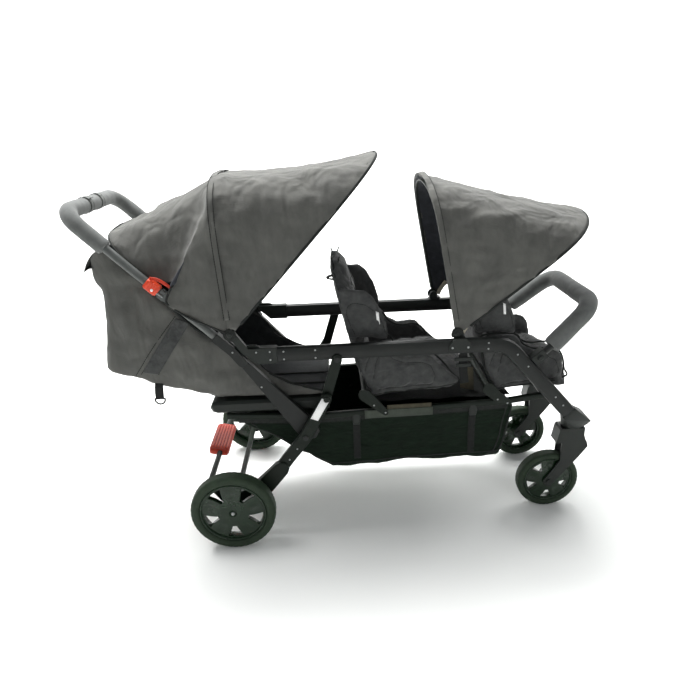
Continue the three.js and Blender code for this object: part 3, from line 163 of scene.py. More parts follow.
def swept(route, section, first_side=(0, 1, 0), scales=None, loop=False):
    """A section carried along a line without twisting, capped at both ends."""
    route = [Vector(p) for p in route]
    n = len(route)
    verts, faces, side = [], [], Vector(first_side)
    for i, p in enumerate(route):
        if loop:
            way = route[(i + 1) % n] - route[i - 1]
        else:
            way = route[min(i + 1, n - 1)] - route[max(i - 1, 0)]
        way.normalize()
        side = (side - way * side.dot(way)).normalized()
        up = way.cross(side)
        size = scales[i] if scales else 1
        verts += [p + (side * a + up * b) * size for a, b in section]
    m = len(section)
    for i in range(n if loop else n - 1):
        for k in range(m):
            j = (i + 1) % n
            faces.append((i * m + k, i * m + (k + 1) % m, j * m + (k + 1) % m, j * m + k))
    if not loop:
        faces += [tuple(range(m)), tuple(range((n - 1) * m, n * m))]
    return verts, faces


def turned(profile, centre, count=96, groove=None):
    """A closed profile of (radius, y) turned round a wheel axis."""
    verts, faces, m = [], [], len(profile)
    for i in range(count):
        a = 2 * math.pi * i / count
        for k, (r, y) in enumerate(profile):
            r = groove(i, r, y) if groove else r
            verts.append(Vector((centre[0] + r * math.cos(a), centre[1] + y,
                                 centre[2] + r * math.sin(a))))
        for k in range(m):
            j = (i + 1) % count
            faces.append((i * m + k, i * m + (k + 1) % m, j * m + (k + 1) % m, j * m + k))
    return verts, faces


def grid(rows):
    """Faces over rows of points."""
    m = len(rows[0])
    faces = [(i * m + k, i * m + k + 1, (i + 1) * m + k + 1, (i + 1) * m + k)
             for i in range(len(rows) - 1) for k in range(m - 1)]
    return [p for row in rows for p in row], faces


def both(*shapes):
    """Several shapes as one."""
    verts, faces = [], []
    for v, f in shapes:
        faces += [tuple(i + len(verts) for i in face) for face in f]
        verts += v
    return verts, faces


def flipped(shape):
    """The mirror twin on the other side of the stroller."""
    verts, faces = shape
    return [Vector((v[0], -v[1], v[2])) for v in verts], [tuple(reversed(f)) for f in faces]


def shade_smooth(ob):
    for face in ob.data.polygons:
        face.use_smooth = True


def make(name, shape, *materials, smooth=True, even=True):
    """A mesh object from points in millimetres."""
    verts, faces = shape
    mesh = bpy.data.meshes.new(name)
    mesh.from_pydata([metres(*v) for v in verts], [], faces)
    ob = bpy.data.objects.new(name, mesh)
    scene.collection.objects.link(ob)
    for material in materials:
        mesh.materials.append(material)
    if even:
        bm = bmesh.new()
        bm.from_mesh(mesh)
        bmesh.ops.recalc_face_normals(bm, faces=bm.faces)
        bm.to_mesh(mesh)
        bm.free()
    if smooth:
        shade_smooth(ob)
    return ob


def change(ob, kind, **settings):
    """A modifier with its settings."""
    m = ob.modifiers.new(kind.title(), kind)
    for key, value in settings.items():
        setattr(m, key, value)
    return m


def settle(ob):
    """Every modifier applied to the mesh."""
    bpy.context.view_layer.update()
    seen = ob.evaluated_get(bpy.context.evaluated_depsgraph_get())
    mesh = bpy.data.meshes.new_from_object(seen)
    mesh.name = ob.name
    ob.modifiers.clear()
    ob.data = mesh
    shade_smooth(ob)
    return ob


def soften(ob):
    """Each face split once and smoothed."""
    return change(ob, "SUBSURF", levels=1, render_levels=1)


def ease(ob, width, degrees=50):
    """Sharp edges rounded by so many millimetres."""
    return change(ob, "BEVEL", width=width * MM, segments=2, limit_method="ANGLE",
                  angle_limit=math.radians(degrees))


def thicken(ob, thick, soft=False):
    """A sheet gets its thickness to both sides, and where asked softer edges."""
    change(ob, "SOLIDIFY", thickness=thick * MM, offset=0)
    if soft:
        soften(ob)
    return settle(ob)


def fasten(ob, body, slot, *nodes):
    """The piece rides on a body and may stand for solids, which are hidden; the slot is not used."""
    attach(ob, body)
    if nodes:
        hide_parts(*nodes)
    return ob


def points_of(ob, what="co"):
    """A mesh's points, or with "normal" which way each faces, as rows."""
    values = np.empty(len(ob.data.vertices) * 3)
    ob.data.vertices.foreach_get(what, values)
    return values.reshape(-1, 3)


def move_points(ob, co):
    ob.data.vertices.foreach_set("co", co.reshape(-1))
    ob.data.update()


def wrinkle(ob, *layers, where=None):
    """Folds in cloth: each layer is (height mm, size mm as x, y, z, seed)."""
    co, out = points_of(ob), points_of(ob, "normal")
    lift = np.zeros(len(co))
    for height, size, seed in layers:
        scale = 1 / (np.array(size, float) * MM)
        for i, p in enumerate(co):
            lift[i] += height * MM * noise.noise(Vector(p * scale) + Vector((seed, seed * 2, 0)))
    if where is not None:
        lift *= np.array([where((p[0] / MM + SHIFT, p[1] / MM, p[2] / MM)) for p in co])
    move_points(ob, co + out * lift[:, None])


# Finishes

def linear(hex_colour):
    channels = [int(hex_colour[i:i + 2], 16) / 255 for i in (1, 3, 5)]
    return (*(c / 12.92 if c <= 0.04045 else ((c + 0.055) / 1.055) ** 2.4 for c in channels), 1)


def node(tree, kind, values=None, links=None, **settings):
    """Adds a node with its settings, its input values and what is plugged into it."""
    made = tree.nodes.new(kind)
    for key, value in settings.items():
        setattr(made, key, value)
    for key, value in (values or {}).items():
        made.inputs[key].default_value = value
    for key, socket in (links or {}).items():
        tree.links.new(socket, made.inputs[key])
    return made


def finish(name, colours, rough, mottle_mm, bump_mm=0.0, grain_mm=1.0, weave_mm=0, wear=None,
           rough_range=0.08, streak=(1, 1, 1), folds=None, **sockets):
    """A finish on one shader: two close colours mottled over each other, a fine surface grain or
    weave in the bump, soft folds as (size mm, height mm), and where asked a paler colour worn
    along the edges."""
    material = bpy.data.materials.new(name)
    material.use_nodes = True
    tree = material.node_tree
    shader = tree.nodes["Principled BSDF"]
    for key, value in sockets.items():
        shader.inputs[key.replace("_", " ")].default_value = value
    place = node(tree, "ShaderNodeTexCoord").outputs["Object"]
    stretched = node(tree, "ShaderNodeMapping", {"Scale": streak}, {"Vector": place})
    cloud = node(tree, "ShaderNodeTexNoise", {"Scale": 1 / (mottle_mm * MM), "Detail": 5.0,
                                              "Roughness": 0.6},
                 {"Vector": stretched.outputs["Vector"]})
    ramp = node(tree, "ShaderNodeValToRGB", links={"Fac": cloud.outputs["Fac"]})
    ramp.color_ramp.elements[0].position = 0.32
    ramp.color_ramp.elements[0].color = linear(colours[0])
    ramp.color_ramp.elements[1].position = 0.68
    ramp.color_ramp.elements[1].color = linear(colours[1])
    colour = ramp.outputs["Color"]
    if wear:
        edges = node(tree, "ShaderNodeNewGeometry").outputs["Pointiness"]
        rubbed = node(tree, "ShaderNodeMapRange", {"From Min": 0.53, "From Max": 0.62,
                                                   "To Max": 0.6}, {"Value": edges})
        mixed = node(tree, "ShaderNodeMix", {7: linear(wear)},
                     {0: rubbed.outputs["Result"], 6: colour}, data_type="RGBA")
        colour = mixed.outputs[2]
    tree.links.new(colour, shader.inputs["Base Color"])
    spread = node(tree, "ShaderNodeMapRange", {"To Min": rough - rough_range,
                                               "To Max": min(rough + rough_range, 1)},
                  {"Value": cloud.outputs["Fac"]})
    tree.links.new(spread.outputs["Result"], shader.inputs["Roughness"])
    if bump_mm:
        grain = node(tree, "ShaderNodeTexNoise", {"Scale": 1 / (grain_mm * MM), "Detail": 3.0},
                     {"Vector": place}).outputs["Fac"]
        if weave_mm:
            threads = [node(tree, "ShaderNodeTexWave", {"Scale": math.pi / (10 * weave_mm * MM),
                                                        "Distortion": 0.6},
                            {"Vector": place}, bands_direction=way).outputs["Fac"]
                       for way in ("X", "Y", "Z")]
            sum_a = node(tree, "ShaderNodeMath", operation="ADD",
                         links={0: threads[0], 1: threads[1]}).outputs[0]
            sum_b = node(tree, "ShaderNodeMath", operation="ADD",
                         links={0: sum_a, 1: threads[2]}).outputs[0]
            grain = node(tree, "ShaderNodeMath", {1: 0.5}, {0: sum_b, 2: grain},
                         operation="MULTIPLY_ADD").outputs[0]
        bump = node(tree, "ShaderNodeBump", {"Strength": 0.6, "Distance": bump_mm * MM},
                    {"Height": grain})
        if folds:
            slack = node(tree, "ShaderNodeTexNoise",
                         {"Scale": 1 / (folds[0] * MM), "Detail": 2.0, "Distortion": 0.35},
                         {"Vector": stretched.outputs["Vector"]}).outputs["Fac"]
            crease = node(tree, "ShaderNodeBump", {"Strength": 1.0, "Distance": folds[1] * MM},
                          {"Height": slack})
            tree.links.new(crease.outputs["Normal"], bump.inputs["Normal"])
        tree.links.new(bump.outputs["Normal"], shader.inputs["Normal"])
    return material


# Polyester canopy cloth with a water-repellent coat: matt, faintly paler where the weave lifts.
# The real threads are 0.4 mm apart; the weave is drawn at 2.4 mm so that it shows at all.
CANOPY = finish("coated_polyester_canopy", ("#52524f", "#60605c"), 0.88, 46, 0.5, 3.2, 2.4,
                streak=(1, 1, 0.5), folds=(64, 21), Specular_IOR_Level=0.25,
                Sheen_Weight=0.12, Sheen_Roughness=0.5)
# The same cloth's dark inner face, which is coated and smoother
LINING = finish("coated_lining", ("#313338", "#3d3f45"), 0.7, 30, 0.3, 4, 2.4,
                Specular_IOR_Level=0.3)
# Padded polyester of the seats: a heavier yarn that catches more light on its folds
SEAT = finish("padded_polyester", ("#3b3c3c", "#4b4c4b"), 0.88, 24, 0.6, 2.6, 2.4,
              folds=(24, 7), Specular_IOR_Level=0.25, Sheen_Weight=0.12, Sheen_Roughness=0.4)
# Lining of the rear seat, out of the light
INNER = finish("padded_inner_polyester", ("#252728", "#323435"), 0.9, 26, 0.6, 2.6, 2.4,
               Specular_IOR_Level=0.2, Sheen_Weight=0.08)
# Coated mesh cloth of the basket: near black with a soft shine; its green cast is painted green light
# reflected from the ground
BASKET = finish("coated_basket_cloth", ("#0a150c", "#111f14"), 0.66, 40, 0.5, 3, 2.0,
                streak=(1, 1, 2.5), folds=(60, 9), Specular_IOR_Level=0.12)
# Folded binding tape along the seams, denser and darker than the cloth
BINDING = finish("polyester_binding", ("#222423", "#2e302e"), 0.84, 12, 0.4, 1.6, 1.6,
                 Specular_IOR_Level=0.2)
# Woven polypropylene webbing, with ribs 1.5 mm apart across its width
WEBBING = finish("polypropylene_webbing", ("#121413", "#1d1f1e"), 0.72, 9, 0.7, 1.2, 1.5,
                 Specular_IOR_Level=0.25)
# Powder-coated aluminium: satin, with a fine orange peel 0.9 mm across and rubbed edges
POWDER = finish("powder_coated_aluminium", ("#101311", "#191c1a"), 0.46, 60, 0.06, 0.9,
                wear="#353836", Specular_IOR_Level=0.3)
# The handle and its stems carry a pale grey lacquer
HANDLE_COAT = finish("grey_lacquered_aluminium", ("#4c4f4d", "#5b5e5c"), 0.42, 50, 0.05, 0.9,
                     wear="#6d706e", Specular_IOR_Level=0.4)
# Lower tubes, rear legs, seat frames and axle: the same coat, painted darker and green-black as
# painted shade and painted green light reflected from the ground below
LOWER_PAINTED_GREEN_SHADE = finish("powder_coat_painted_green_shade", ("#0d150e", "#151d16"), 0.5, 60, 0.06, 0.9,
               wear="#2e352e", Specular_IOR_Level=0.2)
# Nylon mouldings: fine spark-eroded grain of 0.6 mm, matt, edges polished by handling; made slightly
# greener and darker as painted shade and painted green light reflected from the ground
NYLON = finish("moulded_nylon", ("#0e1410", "#171d18"), 0.52, 30, 0.08, 0.6, wear="#303532",
               Specular_IOR_Level=0.35)
# Wheel rims: glossy polypropylene with flow marks; their dark green is a near-black moulding with
# painted green light reflected from the ground
RIM = finish("moulded_polypropylene_rim", ("#0d1f0e", "#142a16"), 0.26, 45, 0.05, 1.5,
             wear="#28382a", Specular_IOR_Level=0.35)
# Foam-filled tyres: dull synthetic rubber, dusty on the tread; the green cast of rubber and dust is
# painted green light reflected from the ground
TYRE = finish("foam_filled_rubber", ("#1a2919", "#263524"), 0.7, 22, 0.2, 1.2, wear="#33452f",
              Specular_IOR_Level=0.35)
# Closed-cell EVA foam of the grips: skin-soft and fully matt, with 1.4 mm cells
FOAM = finish("eva_foam_grip", ("#5e605f", "#6e706e"), 0.95, 26, 0.35, 1.4,
              Specular_IOR_Level=0.2, Sheen_Weight=0.15)
# Orange-red acetal of the handle locks
LOCK = finish("moulded_acetal_orange", ("#d93c1e", "#e64f2c"), 0.38, 14, 0.05, 0.8)
# Red polypropylene of the brake pedal, scuffed by shoes
PEDAL = finish("moulded_polypropylene_red", ("#ab2a19", "#bd3822"), 0.5, 11, 0.15, 1.5,
               wear="#d4563c", Specular_IOR_Level=0.25)
# Zinc-plated rivets, axle bolts and lock springs: a real metal, dull from tumbling
ZINC = finish("zinc_plated_steel", ("#8f9292", "#a9acab"), 0.36, 3, 0.05, 0.7, Metallic=1.0)
# Blank white woven labels, and the blank windows of the handle locks
LABEL = finish("white_satin_label", ("#f8f8f5", "#ffffff"), 0.6, 8, 0.1, 0.8)
# Cream cotton tape of the canopy's elastic loops
CREAM = finish("cream_cotton_tape", ("#a79f8e", "#bdb5a4"), 0.85, 7, 0.3, 1.2, 1.5)
# Grey hardboard and its cloth cover under the seats
BOARD = finish("grey_seat_board", ("#353b33", "#424840"), 0.7, 22, 0.15, 1.4,
               Specular_IOR_Level=0.3)
# The same board uncovered: raw edge of brownish pressed fibre
FIBRE = finish("pressed_fibre_board", ("#423f34", "#4f4b3e"), 0.85, 9, 0.2, 1.0,
               Specular_IOR_Level=0.2)


# Sewing

def stitches(line, radius=0.8, apart=2.2):
    """A row of lockstitch along a seam."""
    line = evenly(line, apart)
    return swept(line, round_section(radius, radius, 6),
                 scales=[(1, 1, 0.3)[k % 3] for k in range(len(line))])


def cord_in_cloth(line, radius=2.2):
    """Piping: a cord in a folded strip of cloth, sewn into an edge."""
    line = evenly(line, 5)
    return swept(line, round_section(radius, radius, 10))


def tape(line, width, thick, side=(0, 1, 0)):
    """Flat tape or webbing along a line; side is the direction across it at its start."""
    return swept(line, round_section(width / 2, thick / 2, 12, 5), side)


def mirror_pair(shape):
    return both(shape, flipped(shape))


def sewn(name, body, slot, material, *shapes):
    return fasten(make(name, both(*shapes), material), body, slot)


# The metal and moulded frame

def sides(*names):
    return [f"{name}_{side}" for name in names for side in ("left", "right")]


def dress(material, names, edge=0.7):
    """A finish for solids that stay: welded corners, small rounded edges and smooth curves."""
    for name in names:
        ob = NODES[name]
        for slot in ob.material_slots:
            slot.material = material
        custom = ob.data.attributes.get("custom_normal")
        if custom:
            ob.data.attributes.remove(custom)
        shade_smooth(ob)
        change(ob, "WELD", merge_threshold=0.02 * MM)
        ease(ob, edge, 36).harden_normals = True


dress(POWDER, [*sides("rail", "push_arm"), "bumper_bar"])
dress(HANDLE_COAT, [*sides("handle_stem"), "handle_bar"])
dress(LOWER_PAINTED_GREEN_SHADE, [*sides("lower_tube", "rear_leg", "fold_link"), "front_cross_tube", "mid_seat_frame",
              "front_seat_frame", "rear_axle", "brake_bar"])
dress(NYLON, [*sides("rail_joint", "caster_fork", "caster_housing", "swivel_lock",
                     "canopy_clip", "bumper_socket", "bumper_button"), "rear_seat_base"], 1.2)
dress(NYLON, ["rear_canopy_front_bow", "rear_canopy_middle_bow", "front_canopy_rear_bow",
              "front_canopy_front_bow"], 0.4)


def rivet(x, z, y, radius=2.6, high=1.2):
    """A domed rivet head that stands off a side face; y is the face, on either side."""
    out = math.copysign(1, y)
    profile = [(0.02, high), (radius * 0.5, high * 0.88), (radius * 0.82, high * 0.55),
               (radius, 0.1), (radius, -0.6), (0.02, -0.6)]
    return turned([(r, h * out) for r, h in profile], (x, y, z), 20)


def rivets(name, body, places, radius=2.6):
    """Rivet heads on both sides of the stroller."""
    heads = [rivet(x, z, s * y, radius) for x, z, y in places for s in (-1, 1)]
    return fasten(make(name, both(*heads), ZINC), body, "button_grey")


rivets("rail_rivets", "main_frame", [(720, 571, RAIL_OUT), (720, 554, RAIL_OUT),
                                     (801, 533, RAIL_OUT), (833, 496, RAIL_OUT),
                                     (918, 398, RAIL_OUT), (942, 371, RAIL_OUT),
                                     (172, 573, RAIL_OUT), (172, 551, RAIL_OUT),
                                     (256, 573, RAIL_OUT), (256, 551, RAIL_OUT)])
rivets("rail_joint_rivets", "main_frame", [(100, 574, RAIL_OUT), (136, 551, RAIL_OUT),
                                           (136, 574, RAIL_OUT)])
rivets("clip_screws", "main_frame", [(622, 563, 204.8), (664, 563, 204.8)], 3.2)
rivets("seat_bracket_rivets", "main_frame", [(411, 389, 179.3), (443, 364, 179.3),
                                             (761, 389, 179.3), (790, 376, 179.3)])
rivets("arm_rivets", "push_frame", [(38, 577, RAIL_OUT), (104, 470, 195)])
rivets("leg_rivets", "rear_axle_frame", [(190, 286, 222.5), (166, 252, 222.5)])


# Wheels

def tyre_shape(centre, radius, width, depth):
    """A foam-filled tyre: rounded shoulders, two centre grooves and sipes across the shoulders."""
    middle, half = radius - depth / 2, depth / 2
    groove_deep, sipe_deep = 1.2, 0.8
    profile = []
    for k in range(36):
        a = 2 * math.pi * k / 36
        c, s = math.cos(a), math.sin(a)
        profile.append((middle + half * math.copysign(abs(s) ** 0.62, s),
                        width / 2 * math.copysign(abs(c) ** 0.55, c)))

    def groove(i, r, y):
        if r < radius - depth * 0.34:
            return r
        if width * 0.08 < abs(y) < width * 0.2:
            return r - groove_deep
        return r - sipe_deep if i % 4 < 1 and abs(y) > width * 0.22 else r

    return turned(profile, centre, 180, groove)


def rim_shape(centre, radius, width, hub, outward):
    """A moulded rim: a dished disc with wide spokes, its barrel, lip and hub."""
    spokes, parts = 5, 12
    # The windows between the spokes reach from `inner` to `outer`, in four steps
    inner, outer = hub + 14, radius - 10
    radii = [hub * 0.35, hub * 0.72, hub, hub + 8, inner]
    radii += [inner + (outer - inner) * k / 4 for k in range(1, 5)] + [radius - 3]
    rows = []
    for j, r in enumerate(radii):
        row = []
        wide = 0.55 + 0.75 * min(max((r - inner) / (outer - inner), 0), 1)
        for i in range(spokes * parts):
            k = (i % parts) - parts / 2
            if abs(k) <= 2:
                turn = k * wide
            else:
                turn = math.copysign(2 * wide + (abs(k) - 2) * (parts / 2 - 2 * wide) / 4, k)
            a = 2 * math.pi * (i // parts + 0.5 + turn / parts) / spokes + math.pi / 2
            sunk = 2.6 if abs(k) >= 5 and 5 <= j <= 7 else 0
            dish = 4 + 5 * step(radius, hub, r) - sunk
            row.append(Vector((centre[0] + r * math.cos(a), centre[1] + outward * dish,
                               centre[2] + r * math.sin(a))))
        rows.append(row)
    n = spokes * parts
    verts = [p for row in rows for p in row]
    faces = []
    for j in range(len(rows) - 1):
        for i in range(n):
            if 4 <= j < 8 and abs((i % parts) + 0.5 - parts / 2) < 2.1:
                continue
            faces.append((j * n + i, j * n + (i + 1) % n, (j + 1) * n + (i + 1) % n,
                          (j + 1) * n + i))
    disc = make("rim_disc", (verts, faces), RIM)
    change(disc, "SOLIDIFY", thickness=15 * MM, offset=0)
    ease(disc, 0.9)
    soften(disc)
    settle(disc)
    lip = width / 2 * 0.8
    barrel = [(radius, lip), (radius - 2, lip + 1.2), (radius - 4.5, lip), (radius - 5, 4),
              (radius - 5, -4), (radius - 4.5, -lip), (radius - 2, -lip - 1.2), (radius, -lip)]
    cap = [(0.05, 17), (6, 17), (6.5, 14.6), (hub * 0.6, 14), (hub * 0.8, 12.4), (hub * 0.84, 9),
           (hub * 0.84, -11), (0.05, -11)]
    nut = [(0.05, 20), (4.6, 19.6), (5.6, 18), (5.6, 14), (0.05, 14)]
    rest = make("rim_rest", both(turned(barrel, centre, 96),
                                 turned([(r, y * outward) for r, y in cap], centre, 60)), RIM)
    bolt = make("rim_bolt", turned([(r, y * outward) for r, y in nut], centre, 12), ZINC,
                smooth=False)
    for part in (rest, bolt):
        joined(disc, part)
    return disc


def joined(main, other):
    """other's mesh goes into main, with its materials."""
    bm = bmesh.new()
    bm.from_mesh(main.data)
    known = list(main.data.materials)
    for material in other.data.materials:
        if material not in known:
            known.append(material)
            main.data.materials.append(material)
    first = len(bm.faces)
    bm.from_mesh(other.data)
    bm.faces.ensure_lookup_table()
    for face in bm.faces[first:]:
        face.material_index = known.index(other.data.materials[face.material_index])
    bm.to_mesh(main.data)
    bm.free()
    bpy.data.objects.remove(other)
    return main


# Axle x, wheel y, tyre radius, width and depth, rim radius and hub radius
WHEELS = {"rear": (0, 262, 120, 40, 27, 93.5, 30), "front": (940, 144, 93, 34, 21, 72.5, 22)}
for side, s in (("left", 1), ("right", -1)):
    for end, (x, y, radius, width, depth, rim_radius, hub) in WHEELS.items():
        body, centre = f"{end}_wheel_{side}", (x, s * y, radius)
        fasten(make(f"{end}_tyre_smooth_{side}", tyre_shape(centre, radius, width, depth), TYRE),
               body, "tyre_black", f"{end}_tyre_{side}")
        wheel = rim_shape(centre, rim_radius, width, hub, s)
        wheel.name = f"{end}_rim_moulded_{side}"
        fasten(wheel, body, "rim_black", f"{end}_rim_{side}")


# Handle, grips, locks and pedal

# Distance from the handle's foot to the middle of its grip, and the sides of the cloth wraps
GRIP_AT = 306
WRAPS_Y = (-40, 38)


def on_handle(distance, y, off=0):
    """A place on the handle's side tube or grip, off it by so much to the front."""
    c, s = heading(HANDLE_ANGLE)
    return Vector((HANDLE_FOOT[0] + c * distance - s * off, y,
                   HANDLE_FOOT[1] + s * distance + c * off))


def on_leg(along, up, y):
    """A place beside the front leg, measured from the rail's knee."""
    return Vector((KNEE[0] + LEG_WAY[0] * along + LEG_UP[0] * up, y,
                   KNEE[1] + LEG_WAY[1] * along + LEG_UP[1] * up))


def foam_grip(name, half_route, bend, radius, body, node_name, dents=()):
    """Foam sleeve over a bar: a round tube with soft ends and slight thumb hollows."""
    other = [Vector((p[0], -p[1], p[2])) for p in reversed(half_route)]
    line = evenly(rounded([*half_route, *other], bend, 14), 5)
    n = len(line)
    scales = []
    for i, p in enumerate(line):
        from_end = min(i, n - 1 - i) * 5
        soft = 0.9 + 0.1 * step(0, 8, from_end)
        swell = 0.985 + 0.015 * math.sin(i * 0.23) * math.sin(i * 0.071 + 1)
        for y, depth in dents:
            swell -= depth * math.exp(-((p.y - y) / 14) ** 2)
        scales.append(soft * swell)
    grip = make(name, swept(line, round_section(radius, radius, 28), scales=scales), FOAM)
    ease(grip, 2, 60)
    wrinkle(settle(grip), (0.5, (14, 14, 14), 3))
    fasten(grip, body, "grip_foam", node_name)
    return line


grip_line = foam_grip("handle_grip_foam", [on_handle(182, 183.2), on_handle(GRIP_AT, 178)], 52, 21,
                      "handle", "handle_grip", [(-38, 0.03), (36, 0.03)])
foam_grip("bumper_grip_foam", [on_leg(92, 84, 186.6), on_leg(92, 242, 153)], 62, 25, "bumper",
          "bumper_foam")


def band_round(centre, way, radius, width, thick=1.4, wave=0.0):
    """A strip of cloth wrapped round a tube, with slightly waved edges."""
    way = Vector(way).normalized()
    side = way.orthogonal().normalized()
    up = way.cross(side)
    rows = []
    for r in (radius, radius + thick):
        for k in range(7):
            row = []
            for i in range(49):
                a = 2 * math.pi * i / 48
                lap = 1.6 * step(0.8, 1, i / 48)
                along = width * (k / 6 - 0.5) + wave * math.sin(a * 5 + k)
                row.append(Vector(centre) + way * along
                           + (side * math.cos(a) + up * math.sin(a)) * (r + lap))
            rows.append(row)
    rows = rows[:7] + rows[:6:-1]
    return grid([*rows, rows[0]])


bands = [band_round(on_handle(GRIP_AT, y), (0, 1, 0), 20.6, 17, 1.2, 1.2) for y in WRAPS_Y]
bands.append(tape(through([on_handle(GRIP_AT - 2, -38, -21), on_handle(GRIP_AT, -37, -27),
                           on_handle(GRIP_AT - 4, -41, -31)], 6), 9, 1.2))
fasten(make("handle_grip_wraps", both(*bands), FOAM), "handle", "grip_foam")
rims = [band_round(on_handle(GRIP_AT, y + d), (0, 1, 0), 21.4, 1.6, 0.6, 1.2)
        for y in WRAPS_Y for d in (-8, 8)]
fasten(make("handle_wrap_edges", both(*rims), BOARD), "handle", "grip_foam")
inward = Vector((-heading(HANDLE_ANGLE)[0], 0, -heading(HANDLE_ANGLE)[1]))
seam = [p + (Vector((0, -math.copysign(1, p.y), 0)) * step(250, 180, (p - on_handle(0, p.y)).length)
             + inward).normalized() * 20.7 for p in grip_line[2:-2]]
fasten(make("handle_grip_seam", swept(seam, round_section(0.8, 0.8, 8)), FOAM), "handle",
       "grip_foam")

for side, s in (("left", 1), ("right", -1)):
    # The sleeve slides on the bar: a rounded block with three finger ribs and a blank window
    line = [on_handle(20 + k, s * RAIL_Y) for k in range(39)]
    ribs = [0.84 + 0.16 * step(0, 5, min(k, 38 - k)) - (0.05 if k % 6 in (3, 4) else 0)
            for k in range(39)]
    block = swept(line, round_section(14.2, 14.6, 32, 5), scales=ribs)
    nub = turned([(0.05, s * 15.6), (3.2, s * 15.4), (3.7, s * 14.2), (3.7, s * 10),
                  (0.05, s * 10)], on_handle(34, s * RAIL_Y, 3), 24)
    sleeve = make(f"lock_sleeve_{side}", block, LOCK)
    joined(sleeve, make("lock_nub", nub, LABEL))
    # A flat red lever lies over the cloth, and a steel spring shows below the sleeve
    lever = through([(-146, s * 193, 785), (-128, s * 200, 783), (-112, s * 203, 775),
                     (-97, s * 203, 762)], 9)
    joined(sleeve, make("lock_lever", swept(lever, round_section(1.7, 4.4, 14, 3),
                                            scales=swelling(0.75, 27, 0.15, 0.7)), PEDAL))
    coil = [on_handle(19 - 16 * k / 120, s * (RAIL_Y + 11.8 + 2.6 * math.cos(k * 0.7)),
                      2.6 * math.sin(k * 0.7)) for k in range(121)]
    joined(sleeve, make("lock_spring", swept(coil, round_section(0.7, 0.7, 6)), ZINC))
    ease(sleeve, 0.8)
    fasten(sleeve, f"handle_lock_{side}", "lock_red", f"handle_lock_{side}")

# The pedal's half length, half width and half thickness, how it is tilted and where its ribs are
PEDAL_HALF = (79, 30.5, 10.6)
PEDAL_TILT = 191
PEDAL_RIBS = (-22, -13, -4.4, 4.4, 13, 22)
low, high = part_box("brake_pedal")
middle = (low + high) / 2
pedal_x, pedal_z = middle.x / MM + SHIFT, middle.z / MM
c, s = heading(PEDAL_TILT)
half, broad, high = PEDAL_HALF
ends = [0.9 + 0.1 * step(0, 0.08, min(k, 60 - k) / 60) for k in range(61)]
pedal = make("brake_pedal_pad",
             swept(straight((pedal_x, -half, pedal_z), (pedal_x, half, pedal_z), 60),
                   [(a * c - b * s, a * s + b * c)
                    for a, b in round_section(broad, high, 36, 5)], (1, 0, 0), ends), PEDAL)
ribs = []
for a in PEDAL_RIBS:
    for face in (high, -high):
        x, z = pedal_x + c * a - s * face, pedal_z - s * a - c * face
        ribs.append(swept(straight((x, -68, z), (x, 68, z), 17), round_section(2.2, 2.4, 10),
                          (1, 0, 0)))
# The raised ribs take the paler orange of the handle locks: a painted highlight along them
joined(pedal, make("pedal_ribs_painted_highlight", both(*ribs), LOCK))
fasten(pedal, "brake", "pedal_red", "brake_pedal")


# Canopies

# The cloth begins this far from the pivots
CLOTH_START = 10


def hoop(pivot, bow, half, powers, share):
    """A place on a canopy bow, from its left foot at 0 to its right foot at 1, and its half turn."""
    angle, length = bow
    start = CLOTH_START / (length * (math.pi / 2) ** (2 / powers[1]))
    along = start + (1 - 2 * start) * share
    near = min(along, 1 - along)
    t = 0.5 * (2 * near) ** (powers[1] / 2)
    a = math.pi * (t if along <= 0.5 else 1 - t)
    r = length * math.sin(a) ** (2 / powers[1])
    c, s = heading(angle)
    y = half * math.copysign(abs(math.cos(a)) ** (2 / powers[0]), math.cos(a))
    return Vector((pivot[0] + c * r, y, pivot[1] + s * r)), a / math.pi


def even_shares(pivot, bows, half, powers, count):
    """Shares along the bows that lie evenly spaced over the cloth between them."""
    fine = [k / 1600 for k in range(1601)]
    lines = [[hoop(pivot, bow, half, powers, u)[0] for u in fine] for bow in bows]
    run = [0]
    for k in range(1600):
        run.append(run[-1] + sum((line[k + 1] - line[k]).length for line in lines))
    return [float(u) for u in np.interp(np.linspace(0, run[-1], count + 1), run, fine)]


def bow_line(pivot, bow, half, powers, shares, past=0):
    """The cloth's line over a bow, moved past it by so many millimetres to the front."""
    c, s = heading(bow[0])
    made = []
    for u in shares:
        p, t = hoop(pivot, bow, half, powers, u)
        made.append((p + Vector((s, 0, -c)) * past, t))
    return made


def panel(name, back, front, sag, rows):
    """Cloth stretched from a back line to a front line, hanging slightly between them."""
    made = []
    for k in range(rows + 1):
        v = k / rows
        row = []
        for (p, t), (q, _) in zip(back, front):
            point = p.lerp(q, v)
            point.z -= sag(v) * math.sin(math.pi * t) ** 2
            point.y *= 1 - 0.012 * math.sin(math.pi * v) * abs(math.cos(math.pi * t)) ** 3
            row.append(point)
        made.append(row)
    return make(name, grid(made), CANOPY, LINING, even=False)


def lined(ob, thick=1.3):
    """The cloth gets its thickness, its dark inner face and its raw edge."""
    change(ob, "SOLIDIFY", thickness=thick * MM, offset=-1, material_offset=1)
    return settle(ob)


def spans(ob, pivot, degrees, reach, behind, ahead, *nodes):
    """Cloth that crosses a hinge, fixed where it is, with the solids it stands for hidden; the pivot
    and the bodies behind and ahead of it are not used.
    """
    if nodes:
        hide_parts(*nodes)
    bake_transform(ob)


